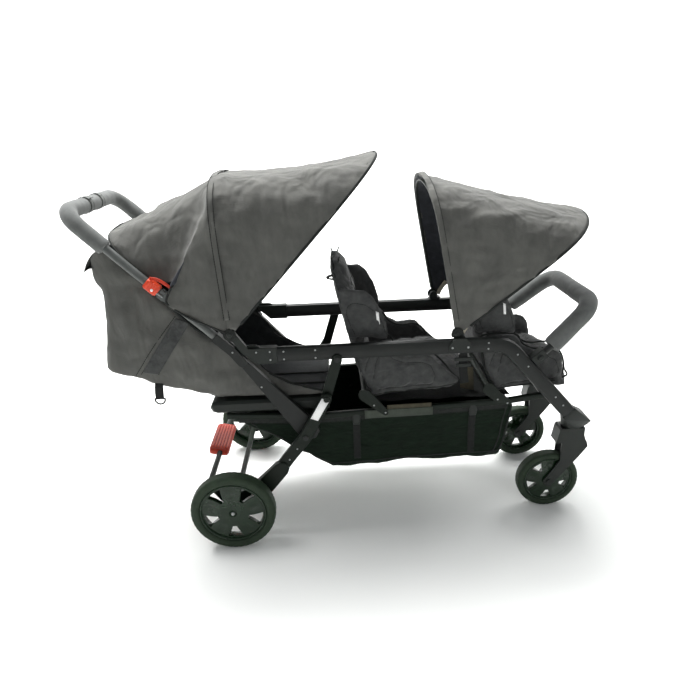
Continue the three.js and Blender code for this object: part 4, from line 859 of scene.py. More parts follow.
MIDDLE_BOW, FRONT_BOW = REAR_BOWS["middle"], REAR_BOWS["front"]
HALF, POWERS = REAR_BOWS["half"], REAR_BOWS["powers"]
shares = even_shares(REAR_PIVOT, (MIDDLE_BOW, FRONT_BOW), HALF, POWERS, 132)
middle_line = bow_line(REAR_PIVOT, MIDDLE_BOW, HALF, POWERS, shares)
front_line = bow_line(REAR_PIVOT, FRONT_BOW, HALF, POWERS, shares, 4)
rear_front_cloth = panel("rear_canopy_front_cloth", middle_line, front_line,
                         lambda v: 13.2 * math.sin(math.pi * v), 44)
wrinkle(rear_front_cloth, (5, (130, 60, 80), 1), (3.6, (60, 60, 30), 5), (1.6, (26, 30, 13), 9))
lined(rear_front_cloth)
spans(rear_front_cloth, REAR_PIVOT, -20.45, 140, "rear_canopy_middle", "rear_canopy_front",
      "rear_canopy_cover")

# The rear edge of the cover, as (share, x, z, y): round the pivot, up the slit for the handle,
# over the seat's back
EDGE = [(0, 28, 637, 211), (0.18, -60, 682, 211), (0.3, -114, 722, 211), (0.42, -100, 752, 211),
        (0.5, -78, 783, 211), (0.56, -86, 772, 186), (0.62, -112, 762, 168), (0.7, -165, 779, 167),
        (0.8, -212.5, 828.5, 164), (0.9, -260, 878, 130), (0.95, -262, 887, 70), (1, -262, 891, 0)]


def rear_edge(t):
    share = 2 * min(t, 1 - t)
    x, z, y = (float(np.interp(share, [e[0] for e in EDGE], [e[k] for e in EDGE]))
               for k in (1, 2, 3))
    return Vector((x, y if t < 0.5 else -y, z))


edge_line = [(rear_edge(t), t) for _, t in middle_line]
for _ in range(2):
    edge_line = [edge_line[0], *(((a[0] + b[0] * 2 + c[0]) / 4, b[1]) for a, b, c in
                                 zip(edge_line, edge_line[1:], edge_line[2:])), edge_line[-1]]
rear_back_cloth = panel("rear_canopy_rear_cloth", edge_line, middle_line,
                        lambda v: 9 * math.sin(math.pi * (1 - v) ** 0.7), 34)
wrinkle(rear_back_cloth, (7, (80, 70, 60), 2), (5, (44, 50, 30), 6), (2.2, (20, 26, 16), 3),
        where=lambda p: 0.5 + 0.5 * step(0, -150, p[0]))
lined(rear_back_cloth)
spans(rear_back_cloth, REAR_PIVOT, 28.5, 100, "main_frame", "rear_canopy_middle")

# Hem and bow casing, with their stitching
hem = [p for p, _ in front_line]
sewn("rear_canopy_front_hem", "rear_canopy_front", "canopy_fabric", BINDING,
     swept(hem[2:-2], round_section(2.2, 3.6, 12)))
casing = [hoop(REAR_PIVOT, (MIDDLE_BOW[0], MIDDLE_BOW[1] + 0.7), HALF + 0.7, POWERS, u)[0]
          for u in shares]
sewn("rear_canopy_bow_casing", "rear_canopy_middle", "canopy_fabric", CANOPY,
     swept(casing[3:-3], round_section(0.9, 7, 12, 4)))
sewn("rear_canopy_casing_seams", "rear_canopy_middle", "canopy_fabric", BINDING,
     *(stitches([p for p, _ in bow_line(REAR_PIVOT, (MIDDLE_BOW[0], MIDDLE_BOW[1] + 1.8),
                                        HALF + 1.8, POWERS, shares, past)][3:-3], 1.0)
       for past in (-7, 7)))
sewn("rear_canopy_rear_binding", "main_frame", "canopy_fabric", BINDING,
     swept([p for p, _ in edge_line[3:-3]], round_section(1.9, 4, 12)))

# The front canopy
FORE_BOW, BACK_BOW = FRONT_BOWS["front"], FRONT_BOWS["rear"]
FORE_HALF, FORE_POWERS = FRONT_BOWS["half"], FRONT_BOWS["powers"]
shares = even_shares(FRONT_PIVOT, (FORE_BOW, BACK_BOW), FORE_HALF, FORE_POWERS, 120)
back_line = bow_line(FRONT_PIVOT, BACK_BOW, FORE_HALF, FORE_POWERS, shares, -5)
fore_line = bow_line(FRONT_PIVOT, FORE_BOW, FORE_HALF, FORE_POWERS, shares, 4)
front_cloth = panel("front_canopy_cloth", back_line, fore_line,
                    lambda v: 4.2 * math.sin(math.pi * v), 44)
wrinkle(front_cloth, (4, (90, 60, 120), 4), (4.6, (60, 60, 24), 8), (2.2, (26, 30, 11), 11))
lined(front_cloth)
spans(front_cloth, FRONT_PIVOT, -20.7, 120, "front_canopy_rear", "front_canopy_front",
      "front_canopy_cover")
sewn("front_canopy_front_hem", "front_canopy_front", "canopy_fabric", BINDING,
     swept([p for p, _ in fore_line[2:-2]], round_section(2.2, 3.4, 12)))
casing = [p for p, _ in bow_line(FRONT_PIVOT, (BACK_BOW[0], BACK_BOW[1] + 0.7), FORE_HALF + 0.7,
                                 FORE_POWERS, shares, 2)]
sewn("front_canopy_rear_casing", "front_canopy_rear", "canopy_fabric", CANOPY,
     swept(casing[2:-2], round_section(1.3, 7.5, 14, 4)))
sewn("front_canopy_casing_seam", "front_canopy_rear", "canopy_fabric", BINDING,
     stitches([p for p, _ in bow_line(FRONT_PIVOT, (BACK_BOW[0], BACK_BOW[1] + 1.6),
                                      FORE_HALF + 1.6, FORE_POWERS, shares, 9)][2:-2], 0.9))


def pivot_patch(pivot, y, flat, radius=17):
    """The cloth's doubled round end over a canopy pivot, with its cap."""
    ring = []
    for k in range(48):
        a = 2 * math.pi * k / 48
        ring.append((radius * math.cos(a), max(radius * math.sin(a), -flat)))
    rows = []
    for share, off in ((0.05, 0.8), (0.6, 0.9), (0.93, 0.8), (1, 0), (0.93, -0.9), (0.05, -0.9)):
        rows.append([Vector((pivot[0] + x * share, y + off, pivot[1] + z * share))
                     for x, z in [*ring, ring[0]]])
    cap = turned([(0.05, 3.2), (4, 3.0), (6.4, 2.2), (7.4, 1.0), (7.6, 0), (0.05, 0)],
                 (pivot[0], y + 0.6, pivot[1]), 32)
    return grid(rows), cap


for name, at, y, flat in (("rear", REAR_PIVOT, 210.4, 17), ("front", FRONT_PIVOT, 193, 9)):
    patch, cap = pivot_patch(at, y, flat)
    sewn(f"{name}_canopy_pivot_patch", "main_frame", "canopy_fabric", BINDING, mirror_pair(patch))
    sewn(f"{name}_canopy_pivot_cap", "main_frame", "plastic_black", NYLON, mirror_pair(cap))


# Rear seat

def trough_row(top, bottom, half, corner, y_bulge=0.0, parts=9):
    """One cross-section of a sewn tub: side, rounded corner and floor, from left to right."""
    top, bottom = Vector((top[0], 0, top[1])), Vector((bottom[0], 0, bottom[1]))
    drop = bottom - top
    depth = max(drop.length, 0.5)
    way = drop.normalized() if drop.length > 0.01 else Vector((0, 0, -1))
    turn = min(corner, depth * 0.45)
    left = []
    for k in range(parts):
        share = k / parts
        p = top + way * (depth - turn) * share
        left.append(Vector((p.x, half + y_bulge * math.sin(math.pi * share) * min(depth / 160, 1),
                            p.z)))
    for k in range(parts):
        a = math.pi / 2 * k / (parts - 1)
        p = top + way * (depth - turn + turn * math.sin(a))
        left.append(Vector((p.x, half - turn + turn * math.cos(a), p.z)))
    for k in range(1, parts + 1):
        left.append(Vector((bottom.x, (half - turn) * (1 - k / parts), bottom.z)))
    return left + [Vector((p.x, -p.y, p.z)) for p in reversed(left[:-1])]


# The bucket's rear end and length, lowest point and height, half width and floor
SHELL_X, SHELL_Z = (-330, 614), (417.3, 445)
SHELL_HALF, SHELL_FLOOR = 152, 418


def shell_point(x, z):
    """A place in the bucket's middle plane, from shares of its length and height."""
    return Vector((SHELL_X[0] + SHELL_X[1] * x, 0, SHELL_Z[0] + SHELL_Z[1] * z))


# Its lower and upper outline, from the back to the front
BOTTOMS = [[0.082, 0.98], [0.034, 0.915], [0.028, 0.8], [0.055, 0.69], [0.03, 0.42],
           [0.007, 0.27], [0.02, 0.21], [0.115, 0.155], [0.25, 0.085], [0.42, 0.025], [0.5, 0],
           [0.7, 0], [1, 0]]
TOPS = [[0.09, 0.995], [0.11, 0.975], [0.2, 0.845], [0.28, 0.715], [0.36, 0.595], [0.45, 0.465],
        [0.53, 0.4], [0.61, 0.345], [0.67, 0.29], [0.72, 0.19], [0.79, 0.125], [0.86, 0.075],
        [1, 0.02]]
bottoms = through([shell_point(*p) for p in BOTTOMS], 7)
tops = through([shell_point(*p) for p in TOPS], 7)
rows = [trough_row((a.x, a.z), (b.x, max(b.z, SHELL_FLOOR)), SHELL_HALF, 30, 7)
        for a, b in zip(tops, bottoms)]
shell = make("rear_seat_shell", grid(rows[::-1]), CANOPY, INNER, even=False)
wrinkle(shell, (9, (110, 90, 60), 12), (6, (60, 60, 26), 14), (2.6, (24, 30, 14), 15),
        where=lambda p: (0.35 if p[2] < 424 else 1) * (0.2 + 0.8 * step(-325, -240, p[0])))
lined(shell, 3)
fasten(shell, "main_frame", "canopy_fabric", "rear_seat")


def skin_tree(ob):
    ob.data.update()
    bm = bmesh.new()
    bm.from_mesh(ob.data)
    tree = BVHTree.FromBMesh(bm)
    bm.free()
    return tree


def side_skin(ob):
    """Finds the outer skin of a soft piece from its side: (x, z, sign) gives y in millimetres."""
    tree = skin_tree(ob)

    def reach(x, z, sign):
        start = metres(x, sign * 400, z)
        hit = tree.ray_cast(start, Vector((0, -sign, 0)))[0]
        return hit.y / MM if hit else None
    return reach


def laid(line, reach, sign, lift=0.5):
    """A line of (x, z) laid on a skin from the side, kept at its last depth past an edge."""
    made, last = [], None
    for x, z in line:
        y = reach(x, z, sign)
        if y is not None and (last is None or abs(y - last) < 12):
            last = y
        if last is not None:
            made.append(Vector((x, last + sign * lift, z)))
    if len(made) < 6:
        return made
    ys = np.array([p.y for p in made])
    soft = np.convolve(np.pad(ys, 3, mode="edge"), np.ones(7) / 7, "valid")
    return [Vector((p.x, y, p.z)) for p, y in zip(made, soft)]


def flat_line(points, length=6, radius=0):
    """(x, z) points joined smoothly, or with rounded corners, as an even line of (x, z)."""
    p = [(x, 0, z) for x, z in points]
    line = rounded(p, radius) if radius else through(p, 8)
    return [(q.x, q.z) for q in evenly(line, length)]


shell_skin = side_skin(shell)
bindings, seams, bands = [], [], []
for s in (-1, 1):
    edge = [Vector((p.x, s * SHELL_HALF, p.z)) for p in tops]
    bindings.append(swept(evenly(edge, 8), round_section(3, 3.6, 10)))
    low = [(p.x, p.z + 6) for p in bottoms[35:]]
    bindings.append(cord_in_cloth(laid(low, shell_skin, s, -0.6), 2.4))
    for line in ([(-111, 669), (-177, 591), (-232, 518), (-243, 503)],
                 [(-181, 503), (-146, 566), (-104, 622), (-74, 650)],
                 [(-228, 506), (-190, 556), (-150, 610), (-111, 660)]):
        seams.append(stitches(laid(flat_line(line), shell_skin, s, 0.6), 1.1))
    for k in range(11):
        share = k / 10
        outer = Vector((-111, 0, 666)).lerp(Vector((-226, 0, 510)), share)
        inner = Vector((-74, 0, 650)).lerp(Vector((-181, 0, 502)), share)
        row = [outer.lerp(inner, j / 4) for j in range(5)]
        bands.append((s, laid([(p.x, p.z) for p in row], shell_skin, s, 1.4)))
pockets = [grid([row for t, row in bands if t == s and len(row) == 5]) for s in (-1, 1)]
fasten(thicken(make("rear_seat_side_bands", both(*pockets), SEAT), 1.6, True), "main_frame",
       "canopy_fabric")
sewn("rear_seat_bindings", "main_frame", "canopy_fabric", BINDING, *bindings)
sewn("rear_seat_seams", "main_frame", "canopy_fabric", BINDING, *seams)

# Collar flap behind the seat's top edge, and the D-ring tab under its back
rows = []
for k in range(13):
    y = 150 * (1 - k / 6)
    ripple = 3 * math.sin(k * 1.7)
    rows.append(through([(-258, y, 858), (-288 - ripple, y, 846), (-312, y, 822 + ripple / 2),
                         (-330 + ripple, y * 0.97, 796), (-318, y * 0.96, 803),
                         (-300, y, 806)], 5))
fasten(thicken(make("rear_seat_collar", grid(rows), CANOPY, even=False), 1.8, True),
       "main_frame", "canopy_fabric")
tab = through([(-186, -148, 474), (-187, -151.5, 462), (-189, -152, 446), (-190, -151, 430),
               (-190, -149, 427), (-189, -147.6, 432), (-188, -148.5, 446), (-186, -149, 462)], 6)
sewn("rear_seat_ring_tab", "main_frame", "canopy_fabric", WEBBING, tape(tab, 24, 1.6, (1, 0, 0)))
ring = [Vector((-190 + 14 * math.cos(a), -150, 426 + 15 * min(math.sin(a), 0.12)))
        for a in (2 * math.pi * k / 40 for k in range(40))]
sewn("rear_seat_ring", "main_frame", "button_grey", POWDER,
     swept(ring, round_section(2.5, 2.5, 10), loop=True))


# Padded seats

def stuffed(node_name, name, material, cell, cap, shrink=0.8, pressure=4.0):
    """A pad grown from its solid: remeshed, filled like a cushion by the cloth solver, its growth
    capped, then smoothed."""
    ob = bpy.data.objects.new(name, NODES[node_name].data.copy())
    scene.collection.objects.link(ob)
    ob.data.materials.clear()
    ob.data.materials.append(material)
    change(ob, "REMESH", mode="VOXEL", voxel_size=cell * MM)
    change(ob, "SMOOTH", factor=0.5, iterations=4)
    change(ob, "DISPLACE", strength=-shrink * MM, mid_level=0)
    settle(ob)
    start = points_of(ob)
    cloth = change(ob, "CLOTH")
    cloth.settings.use_pressure = True
    cloth.settings.uniform_pressure_force = pressure
    cloth.settings.quality = 5
    cloth.settings.mass = 0.3
    cloth.settings.tension_stiffness = 15
    cloth.settings.bending_stiffness = 1.2
    cloth.settings.effector_weights.gravity = 0
    for k in range(1, 21):
        scene.frame_set(k)
    settle(ob)
    scene.frame_set(1)
    moved = points_of(ob) - start
    far = np.linalg.norm(moved, axis=1, keepdims=True)
    held = cap * MM * np.tanh(far / (cap * MM)) / np.maximum(far, 1e-9)
    move_points(ob, start + moved * held)
    change(ob, "SMOOTH", factor=0.5, iterations=2)
    soften(ob)
    return settle(ob)


def press(ob, lines, depth, width):
    """Sewn channels: the pad is drawn in along lines of points."""
    tree = KDTree(sum(len(line) for line in lines))
    count = 0
    for line in lines:
        for p in line:
            tree.insert(metres(*p), count)
            count += 1
    tree.balance()
    co, out = points_of(ob), points_of(ob, "normal")
    near = np.array([tree.find(Vector(p))[2] for p in co]) / (width * MM)
    pull = depth * MM * np.exp(-near ** 2)
    pucker = np.array([noise.noise(Vector(p) / (9 * MM)) for p in co])
    pull += 1.2 * MM * pucker * np.exp(-(near / 3.5) ** 2)
    move_points(ob, co - out * pull[:, None])


def top_skin(ob):
    """Finds a pad's surface from a start point along a way, all in millimetres."""
    tree = skin_tree(ob)

    def reach(point, way):
        hit = tree.ray_cast(metres(*point), Vector(way).normalized())[0]
        return None if hit is None else Vector((hit.x / MM + SHIFT, hit.y / MM, hit.z / MM))
    return reach


def across(reach, start, way, half, count=40):
    """A line over a pad from side to side, found by looking along `way` from start."""
    made = []
    for k in range(count + 1):
        y = half * (1 - 2 * k / count)
        hit = reach((start[0], y, start[1]), way)
        if hit is not None:
            made.append(hit)
    return made


# The rear seat's padded liner with its five cross channels, each found from a start point (x, z)
# along a way
liner = stuffed("rear_seat_pad", "rear_seat_liner", INNER, cell=6, cap=7)
reach = top_skin(liner)
channels = []
for start, way in (((120, 560), (0, 0, -1)), ((20, 600), (-0.15, 0, -1)), ((-80, 640), (-0.5, 0, -1)),
                   ((-120, 660), (-1, 0, -0.3)), ((-120, 720), (-1, 0, 0))):
    channels.append(across(reach, start, way, 118))
press(liner, channels, depth=5, width=7)
wrinkle(liner, (2.2, (50, 50, 50), 21), (1.0, (18, 22, 18), 22))
fasten(liner, "main_frame", "seat_fabric", "rear_seat_pad")

# Depth and height of the seats' side panel and of their wing, and the cushions' slope
PANEL_SIZE, WING_SIZE = (203, 124), (50, 328)
CUSHION_SLOPE = 0.075
# The two outlines, as shares of that depth and height
SIDE = [[0, 0.02], [0.99, 0.1], [1.01, 0.42], [0.96, 0.76], [0.88, 0.93], [0.77, 1],
        [0.55, 1], [0.39, 1.15], [0.26, 1.4], [-0.2, 1.39], [-0.19, 0.97], [-0.14, 0.56]]
WING = [[1.14, 0.585], [1.02, 0.67], [0.78, 0.777], [0.28, 0.915], [-0.22, 0.975],
        [-1, 0.98], [-1.76, 0.98]]


def inset_line(line, distance):
    """A closed (x, z) outline drawn inwards."""
    n = len(line)
    area = sum(line[i][0] * line[(i + 1) % n][1] - line[(i + 1) % n][0] * line[i][1]
               for i in range(n))
    turn = 1 if area > 0 else -1
    made = []
    for i in range(n):
        a, b = Vector(line[i - 1]), Vector(line[(i + 1) % n])
        way = (b - a).normalized()
        made.append((line[i][0] - way.y * distance * turn, line[i][1] + way.x * distance * turn))
    return made


def nose(seat, x, z):
    """How far the middle seat's cushion swells out past its board at its front foot."""
    x0, z0 = SEATS["mid"]
    return 42 * step(x0 + 95, x0 + 200, x) * step(z0 + 112, z0 + 30, z) if seat == "mid" else 0


for seat, (x0, z0) in SEATS.items():
    body = f"{seat}_backrest"
    deep, high = PANEL_SIZE
    panel_line = [(x0 + deep * a, z0 + high * b + CUSHION_SLOPE * max(deep * a, 0) * (1 - b / 2))
                  for a, b in SIDE]
    panel_line = [(x + nose(seat, x, z), z) for x, z in panel_line]
    pad = stuffed(f"{seat}_seat_pad", f"{seat}_seat_cushion", SEAT, cell=5, cap=6)
    co = points_of(pad)
    for p in co:
        p[0] += nose(seat, p[0] / MM + SHIFT, p[2] / MM) * MM
    move_points(pad, co)
    closed = flat_line([*panel_line, panel_line[0]], 5)
    skin = side_skin(pad)
    inner_panel = flat_line([(x0 + a, z0 + b) for a, b in
                             ((24, 22), (176, 32), (183, 60), (170, 92), (146, 103), (96, 104),
                              (62, 118), (44, 146))], 5, 12)
    fan = [[(x0 + a, z0 + b) for a, b in line] for line in
           (((34, 142), (18, 110), (10, 62)), ((20, 150), (-4, 118), (-14, 84)))]
    sewn_lines = (inner_panel, *(flat_line(f, 5) for f in fan))
    seams, pipes = [], []
    for s in (-1, 1):
        rim = laid(inset_line(closed[:-1], 4), skin, s, -1.2)
        pipes.append(cord_in_cloth([*rim, rim[0]], 2.7))
        seams += [laid(line, skin, s, 0) for line in sewn_lines]
    press(pad, seams, depth=3.2, width=5)
    reach = top_skin(pad)
    channels = [across(reach, (x0 + a, z0 + 160), (0, 0, -1), 136) for a in (50, 105, 158)]
    press(pad, channels, depth=4, width=7)
    wrinkle(pad, (1.6, (34, 30, 26), 31), (0.8, (14, 14, 12), 33))
    fasten(pad, "main_frame", "seat_fabric", f"{seat}_seat_pad")
    skin = side_skin(pad)
    sewn(f"{seat}_seat_piping", "main_frame", "seat_fabric", BINDING, *pipes)
    sewn(f"{seat}_seat_seams", "main_frame", "seat_fabric", BINDING,
         *(stitches(laid(line, skin, s, 0.5), 0.9) for s in (-1, 1) for line in sewn_lines))

    # The backrest: wings with piping, four channels over the back, a narrower head with its tabs
    back = stuffed(f"{seat}_seat_back", f"{seat}_backrest_pad", SEAT, cell=5, cap=5)
    skin = side_skin(back)
    front_edge = flat_line([(x0 + WING_SIZE[0] * a, z0 + WING_SIZE[1] * b) for a, b in WING], 5)
    inner_wing = flat_line([(x0 + a, z0 + b) for a, b in
                            ((44, 196), (36, 226), (22, 252), (-8, 276), (-40, 282), (-56, 272),
                             (-60, 250), (-48, 214), (-38, 190))], 5, 14)
    pipes, seams = [], []
    for s in (-1, 1):
        pipes.append(cord_in_cloth(laid(inset_line(front_edge, 0), skin, s, -0.6)[1:-1], 2.7))
        seams.append(laid(inner_wing, skin, s, 0))
    press(back, seams, depth=2.6, width=5)
    reach = top_skin(back)
    channels = [across(reach, (x0 + 120, z0 + b), (-1, 0, 0), 132 if b < 300 else 100)
                for b in (150, 205, 260, 312)]
    press(back, channels, depth=4, width=7)
    wrinkle(back, (1.6, (30, 34, 40), 41), (0.8, (13, 14, 16), 43))
    fasten(back, body, "seat_fabric", f"{seat}_seat_back")
    skin, reach = side_skin(back), top_skin(back)
    head = []
    for k in range(61):
        a = math.pi * k / 60
        y, z = 104 * math.cos(a), 330 + 52 * math.sin(a) ** 0.5
        hit = reach((x0 - 220, y, z0 + z), (1, 0, 0))
        if hit is not None:
            head.append(hit + Vector((4, 0, 0)))
    sewn(f"{seat}_backrest_piping", body, "seat_fabric", BINDING, *pipes, cord_in_cloth(head, 2.5))
    sewn(f"{seat}_backrest_seams", body, "seat_fabric", BINDING,
         *(stitches(laid(inner_wing, skin, s, 0.5), 0.9) for s in (-1, 1)))

    # Two pairs of webbing tabs stand on the head, and one hangs behind it
    tabs = []
    for y in (-62, 62):
        for dx, tilt in ((-88, -4), (-77, 4)):
            tabs.append(tape(through([(x0 + dx, y, z0 + 355), (x0 + dx + tilt * 0.3, y, z0 + 370),
                                      (x0 + dx + tilt, y, z0 + 383),
                                      (x0 + dx + tilt * 1.6, y, z0 + 388)], 5), 20, 3.4))
    tabs.append(tape(through([(x0 - 84, -92, z0 + 346), (x0 - 102, -96, z0 + 343),
                              (x0 - 107, -97, z0 + 338), (x0 - 90, -96, z0 + 334)], 5), 18, 3.4))
    sewn(f"{seat}_backrest_tabs", body, "seat_fabric", WEBBING, *tabs)

    # Shoulder and lap straps lie on the pad, with a blank buckle between them
    straps = []
    for y in (-48, 48):
        line = []
        for k in range(26):
            hit = reach((x0 + 140, y * (1 - 0.25 * k / 25), z0 + 322 - 170 * k / 25), (-1, 0, 0))
            if hit is not None:
                line.append(hit + Vector((1.2, 0, 0.6)))
        straps.append(tape(through(line[::2], 3), 25, 1.6))
    sewn(f"{seat}_shoulder_straps", body, "seat_fabric", WEBBING, *straps)
    seat_reach = top_skin(pad)
    straps = []
    for y in (-1, 1):
        line = []
        for k in range(20):
            hit = seat_reach((x0 + 30 + 55 * (k / 19) ** 1.4, y * (118 - 100 * k / 19), z0 + 180),
                             (0, 0, -1))
            if hit is not None:
                line.append(hit + Vector((0, 0, 1.4)))
        straps.append(tape(through(line[::2], 3), 25, 1.6, (1, 0, 0)))
    hit = seat_reach((x0 + 88, 0, z0 + 180), (0, 0, -1))
    top = hit.z
    straps.append(tape(through([(x0 + 128, 0, top + 1), (x0 + 118, 0, top + 3),
                                (x0 + 104, 0, top + 6)], 6), 25, 1.8))
    sewn(f"{seat}_lap_straps", "main_frame", "seat_fabric", WEBBING, *straps)
    buckle = swept(straight((x0 + 68, 0, top + 9), (x0 + 108, 0, top + 9), 12),
                   round_section(24, 8, 20, 4), scales=swelling(0.62, 12, 0.12, 0.76))
    button = turned([(0.05, 3), (7, 2.6), (8.6, 0.6), (8.8, -1), (0.05, -1)], (0, 0, 0), 24)
    button = ([Vector((x0 + 90 + v.x, v.z, top + 16 + v.y)) for v in button[0]], button[1])
    clasp = joined(make(f"{seat}_buckle", buckle, NYLON), make("clasp_button", button, PEDAL))
    ease(clasp, 0.8)
    fasten(clasp, "main_frame", "plastic_black")


def label_sheet(corner, across_to, down_to, y, parts, swell=0.0):
    """A small four-sided sheet from one corner (x, z) and its two neighbours."""
    a, b, d = Vector(corner), Vector(across_to), Vector(down_to)
    rows = []
    for k in range(parts + 1):
        edge = a.lerp(d, k / parts)
        depth = y + math.copysign(swell * math.sin(3 * k / parts), y)
        rows.append([Vector((p.x, depth, p.y)) for p in (edge, edge + (b - a) / 2, edge + b - a)])
    return grid(rows)


# Blank satin care labels sewn into the wings' front seams
for seat, corners in (("mid", ((422, 660), (430, 656), (425, 624))),
                      ("front", ((764, 668), (771, 664), (767, 636)))):
    label = make(f"{seat}_wing_label", label_sheet(*corners, -157.5, 4, 1.5), LABEL)
    fasten(thicken(label, 0.6), f"{seat}_backrest", "seat_fabric")


# Basket

# The lower tubes' middle line as (x, z), how far below it the hem starts, the basket's half
# width and depth, and where its straps are
LOWER_TUBE = [(-5, 371), (240, 357), (443, 364), (782, 376), (915, 393)]
HEM_DROP = 9.8
BASKET_HALF, BASKET_DEEP = 168.4, 163
STRAPS_X = (360, 694)


def tub_edge(x):
    return float(np.interp(x, [p[0] for p in LOWER_TUBE], [p[1] for p in LOWER_TUBE])) - HEM_DROP


def tub_share(x):
    """How much of its full depth the basket has at x: it rises slowly behind, steeply in front."""
    rear = min(max((x - 20) / 265, 0), 1)
    fore = min(max((806 - x) / 36, 0), 1)
    return min(rear, math.sqrt(1 - (1 - fore) ** 2))


stations = [20 + 265 * k / 16 for k in range(17)]
stations += [285 + 485 * k / 36 for k in range(1, 37)]
stations += [770 + 36 * math.sin(math.pi / 2 * k / 9) for k in range(1, 10)]
rows = []
for x in stations:
    edge, share = tub_edge(x), tub_share(x)
    deep = max(BASKET_DEEP * share, 6) + 7 * share ** 8 + 1.6 * math.sin(x * 0.045) * share
    rows.append(trough_row((x, edge), (x, edge - deep), BASKET_HALF, 20, -3.5, 12))
tub = make("basket_tub", grid(rows[::-1]), BASKET, even=False)
wrinkle(tub, (6.0, (110, 90, 46), 51), (3.5, (50, 50, 20), 53), (1.6, (20, 22, 11), 55),
        where=lambda p: 0.25 + 0.75 * step(tub_edge(p[0]), tub_edge(p[0]) - 30, p[2]))
change(tub, "SOLIDIFY", thickness=1.4 * MM, offset=-1)
settle(tub)
fasten(tub, "main_frame", "basket_fabric", "basket")

tub_skin = side_skin(tub)
bands, lines = [], []
for s in (-1, 1):
    hem = laid([(x, tub_edge(x) - 5) for x in range(26, 800, 8)], tub_skin, s, 0.3)
    lines.append(tape(hem, 13, 1.8, (0, 0, 1)))
    lines.append(stitches([p - Vector((0, -s * 1.2, 8)) for p in hem], 0.8))
    floor = [(x, tub_edge(x) - BASKET_DEEP * tub_share(x) + 13) for x in range(60, 776, 8)]
    lines.append(cord_in_cloth(laid(floor, tub_skin, s, 0.2), 1.8))
    for x in STRAPS_X:
        strap = laid([(x, z) for z in range(int(tub_edge(x)) - 2, 208, -6)], tub_skin, s, 0.9)
        bands.append(tape(strap, 21, 1.6, (1, 0, 0)))
    for back in (0, 15):
        fore = flat_line([(806 - back, 366), (801 - back, 330), (792 - back, 270),
                          (778 - back, 222), (756 - back, 207)], 5)
        lines.append(cord_in_cloth(laid(fore, tub_skin, s, 0.4), 2.4))
sewn("basket_binding", "main_frame", "basket_fabric", BINDING, *lines)
sewn("basket_straps", "main_frame", "basket_fabric", WEBBING, *bands)
buckles = []
for x in STRAPS_X:
    top = tub_edge(x)
    block = swept(straight((x, -171.5, top + 10), (x, -171.5, top - 24), 10),
                  round_section(12, 3.2, 16, 4), (1, 0, 0), swelling(0.75, 10))
    buckles += [block, flipped(block)]
sewn("basket_buckles", "main_frame", "plastic_black", NYLON, *buckles)


# Boards, labels and small parts

def slab(corners, y0, y1, name, material, body, slot, edge=2.0):
    """A covered board with rounded edges, from four (x, z) corners and two depths."""
    rows = []
    for y in (y0, y1):
        rows += [Vector((x, y, z)) for x, z in corners]
    faces = [(0, 1, 2, 3), (7, 6, 5, 4), (0, 4, 5, 1), (1, 5, 6, 2), (2, 6, 7, 3), (3, 7, 4, 0)]
    ob = make(name, (rows, faces), material)
    bm = bmesh.new()
    bm.from_mesh(ob.data)
    bmesh.ops.bevel(bm, geom=bm.edges[:], offset=edge * MM, segments=3, affect="EDGES",
                    profile=0.6)
    bmesh.ops.recalc_face_normals(bm, faces=bm.faces)
    bm.to_mesh(ob.data)
    bm.free()
    soften(ob)
    return fasten(settle(ob), body, slot)


for seat, (x0, z0) in SEATS.items():
    slab([(x0 + 8, z0 - 5.4), (x0 + 172, z0 + 6.9), (x0 + 172, z0 + 10.9), (x0 + 8, z0 - 1.4)],
         -128, 128, f"{seat}_seat_board", BOARD, "main_frame", "seat_fabric", 1.4)
# Guards between the basket's rim and the seats, with the raw edge of their boards above them
guard = swept(straight((384, -175.8, 359), (578, -175.8, 362), 20), round_section(1.5, 12.5, 20, 7))
lining_strip = swept(straight((448, -173.6, 378.5), (574, -173.6, 380.5), 20),
                     round_section(1.4, 6.5, 16, 6))
sewn("basket_side_guards", "main_frame", "basket_fabric", BOARD, mirror_pair(guard))
sewn("basket_guard_strips", "main_frame", "basket_fabric", FIBRE, mirror_pair(lining_strip))
for s, side in ((1, "left"), (-1, "right")):
    slab([(671, 393), (712, 382), (707, 458), (669, 457)], s * 99, s * 102,
         f"front_seat_back_board_{side}", FIBRE, "main_frame", "seat_fabric", 1.0)

# A strap with a blank buckle hangs from the rail between the seats
hanger = through([(660, -170, 546), (660, -167.5, 522), (661, -167, 500), (663, -167, 470),
                  (668, -166, 440)], 6)
clasps = [swept(straight((661 - wide, -168, z), (661 + wide, -168, z), 16),
                round_section(3.4, 6.2, 16, 4), scales=swelling(0.8, 16))
          for z, wide in ((514, 25), (496, 21))]
sewn("seat_hanger_straps", "main_frame", "seat_fabric", WEBBING, tape(hanger, 24, 1.8, (1, 0, 0)))
sewn("seat_hanger_buckles", "main_frame", "plastic_black", NYLON, *clasps)

# A cloth sling closes the space between the seats and the basket
rows = [[Vector((x, y, 388 - 7 * math.sin(math.pi * (y + 150) / 300)
                 - 2 * math.sin(x * 0.05 + y * 0.02))) for y in range(-150, 151, 12)]
        for x in range(396, 805, 12)]
sling = thicken(make("seat_sling", grid(rows), WEBBING), 1.2)
fasten(sling, "main_frame", "basket_fabric")

# White labels on the rear legs, left blank
labels = [label_sheet((267, 441), (287, 433), (233, 381), s * 223.4, 2) for s in (-1, 1)]
fasten(thicken(make("rear_leg_labels", both(*labels), LABEL), 0.7), "rear_axle_frame",
       "button_grey")

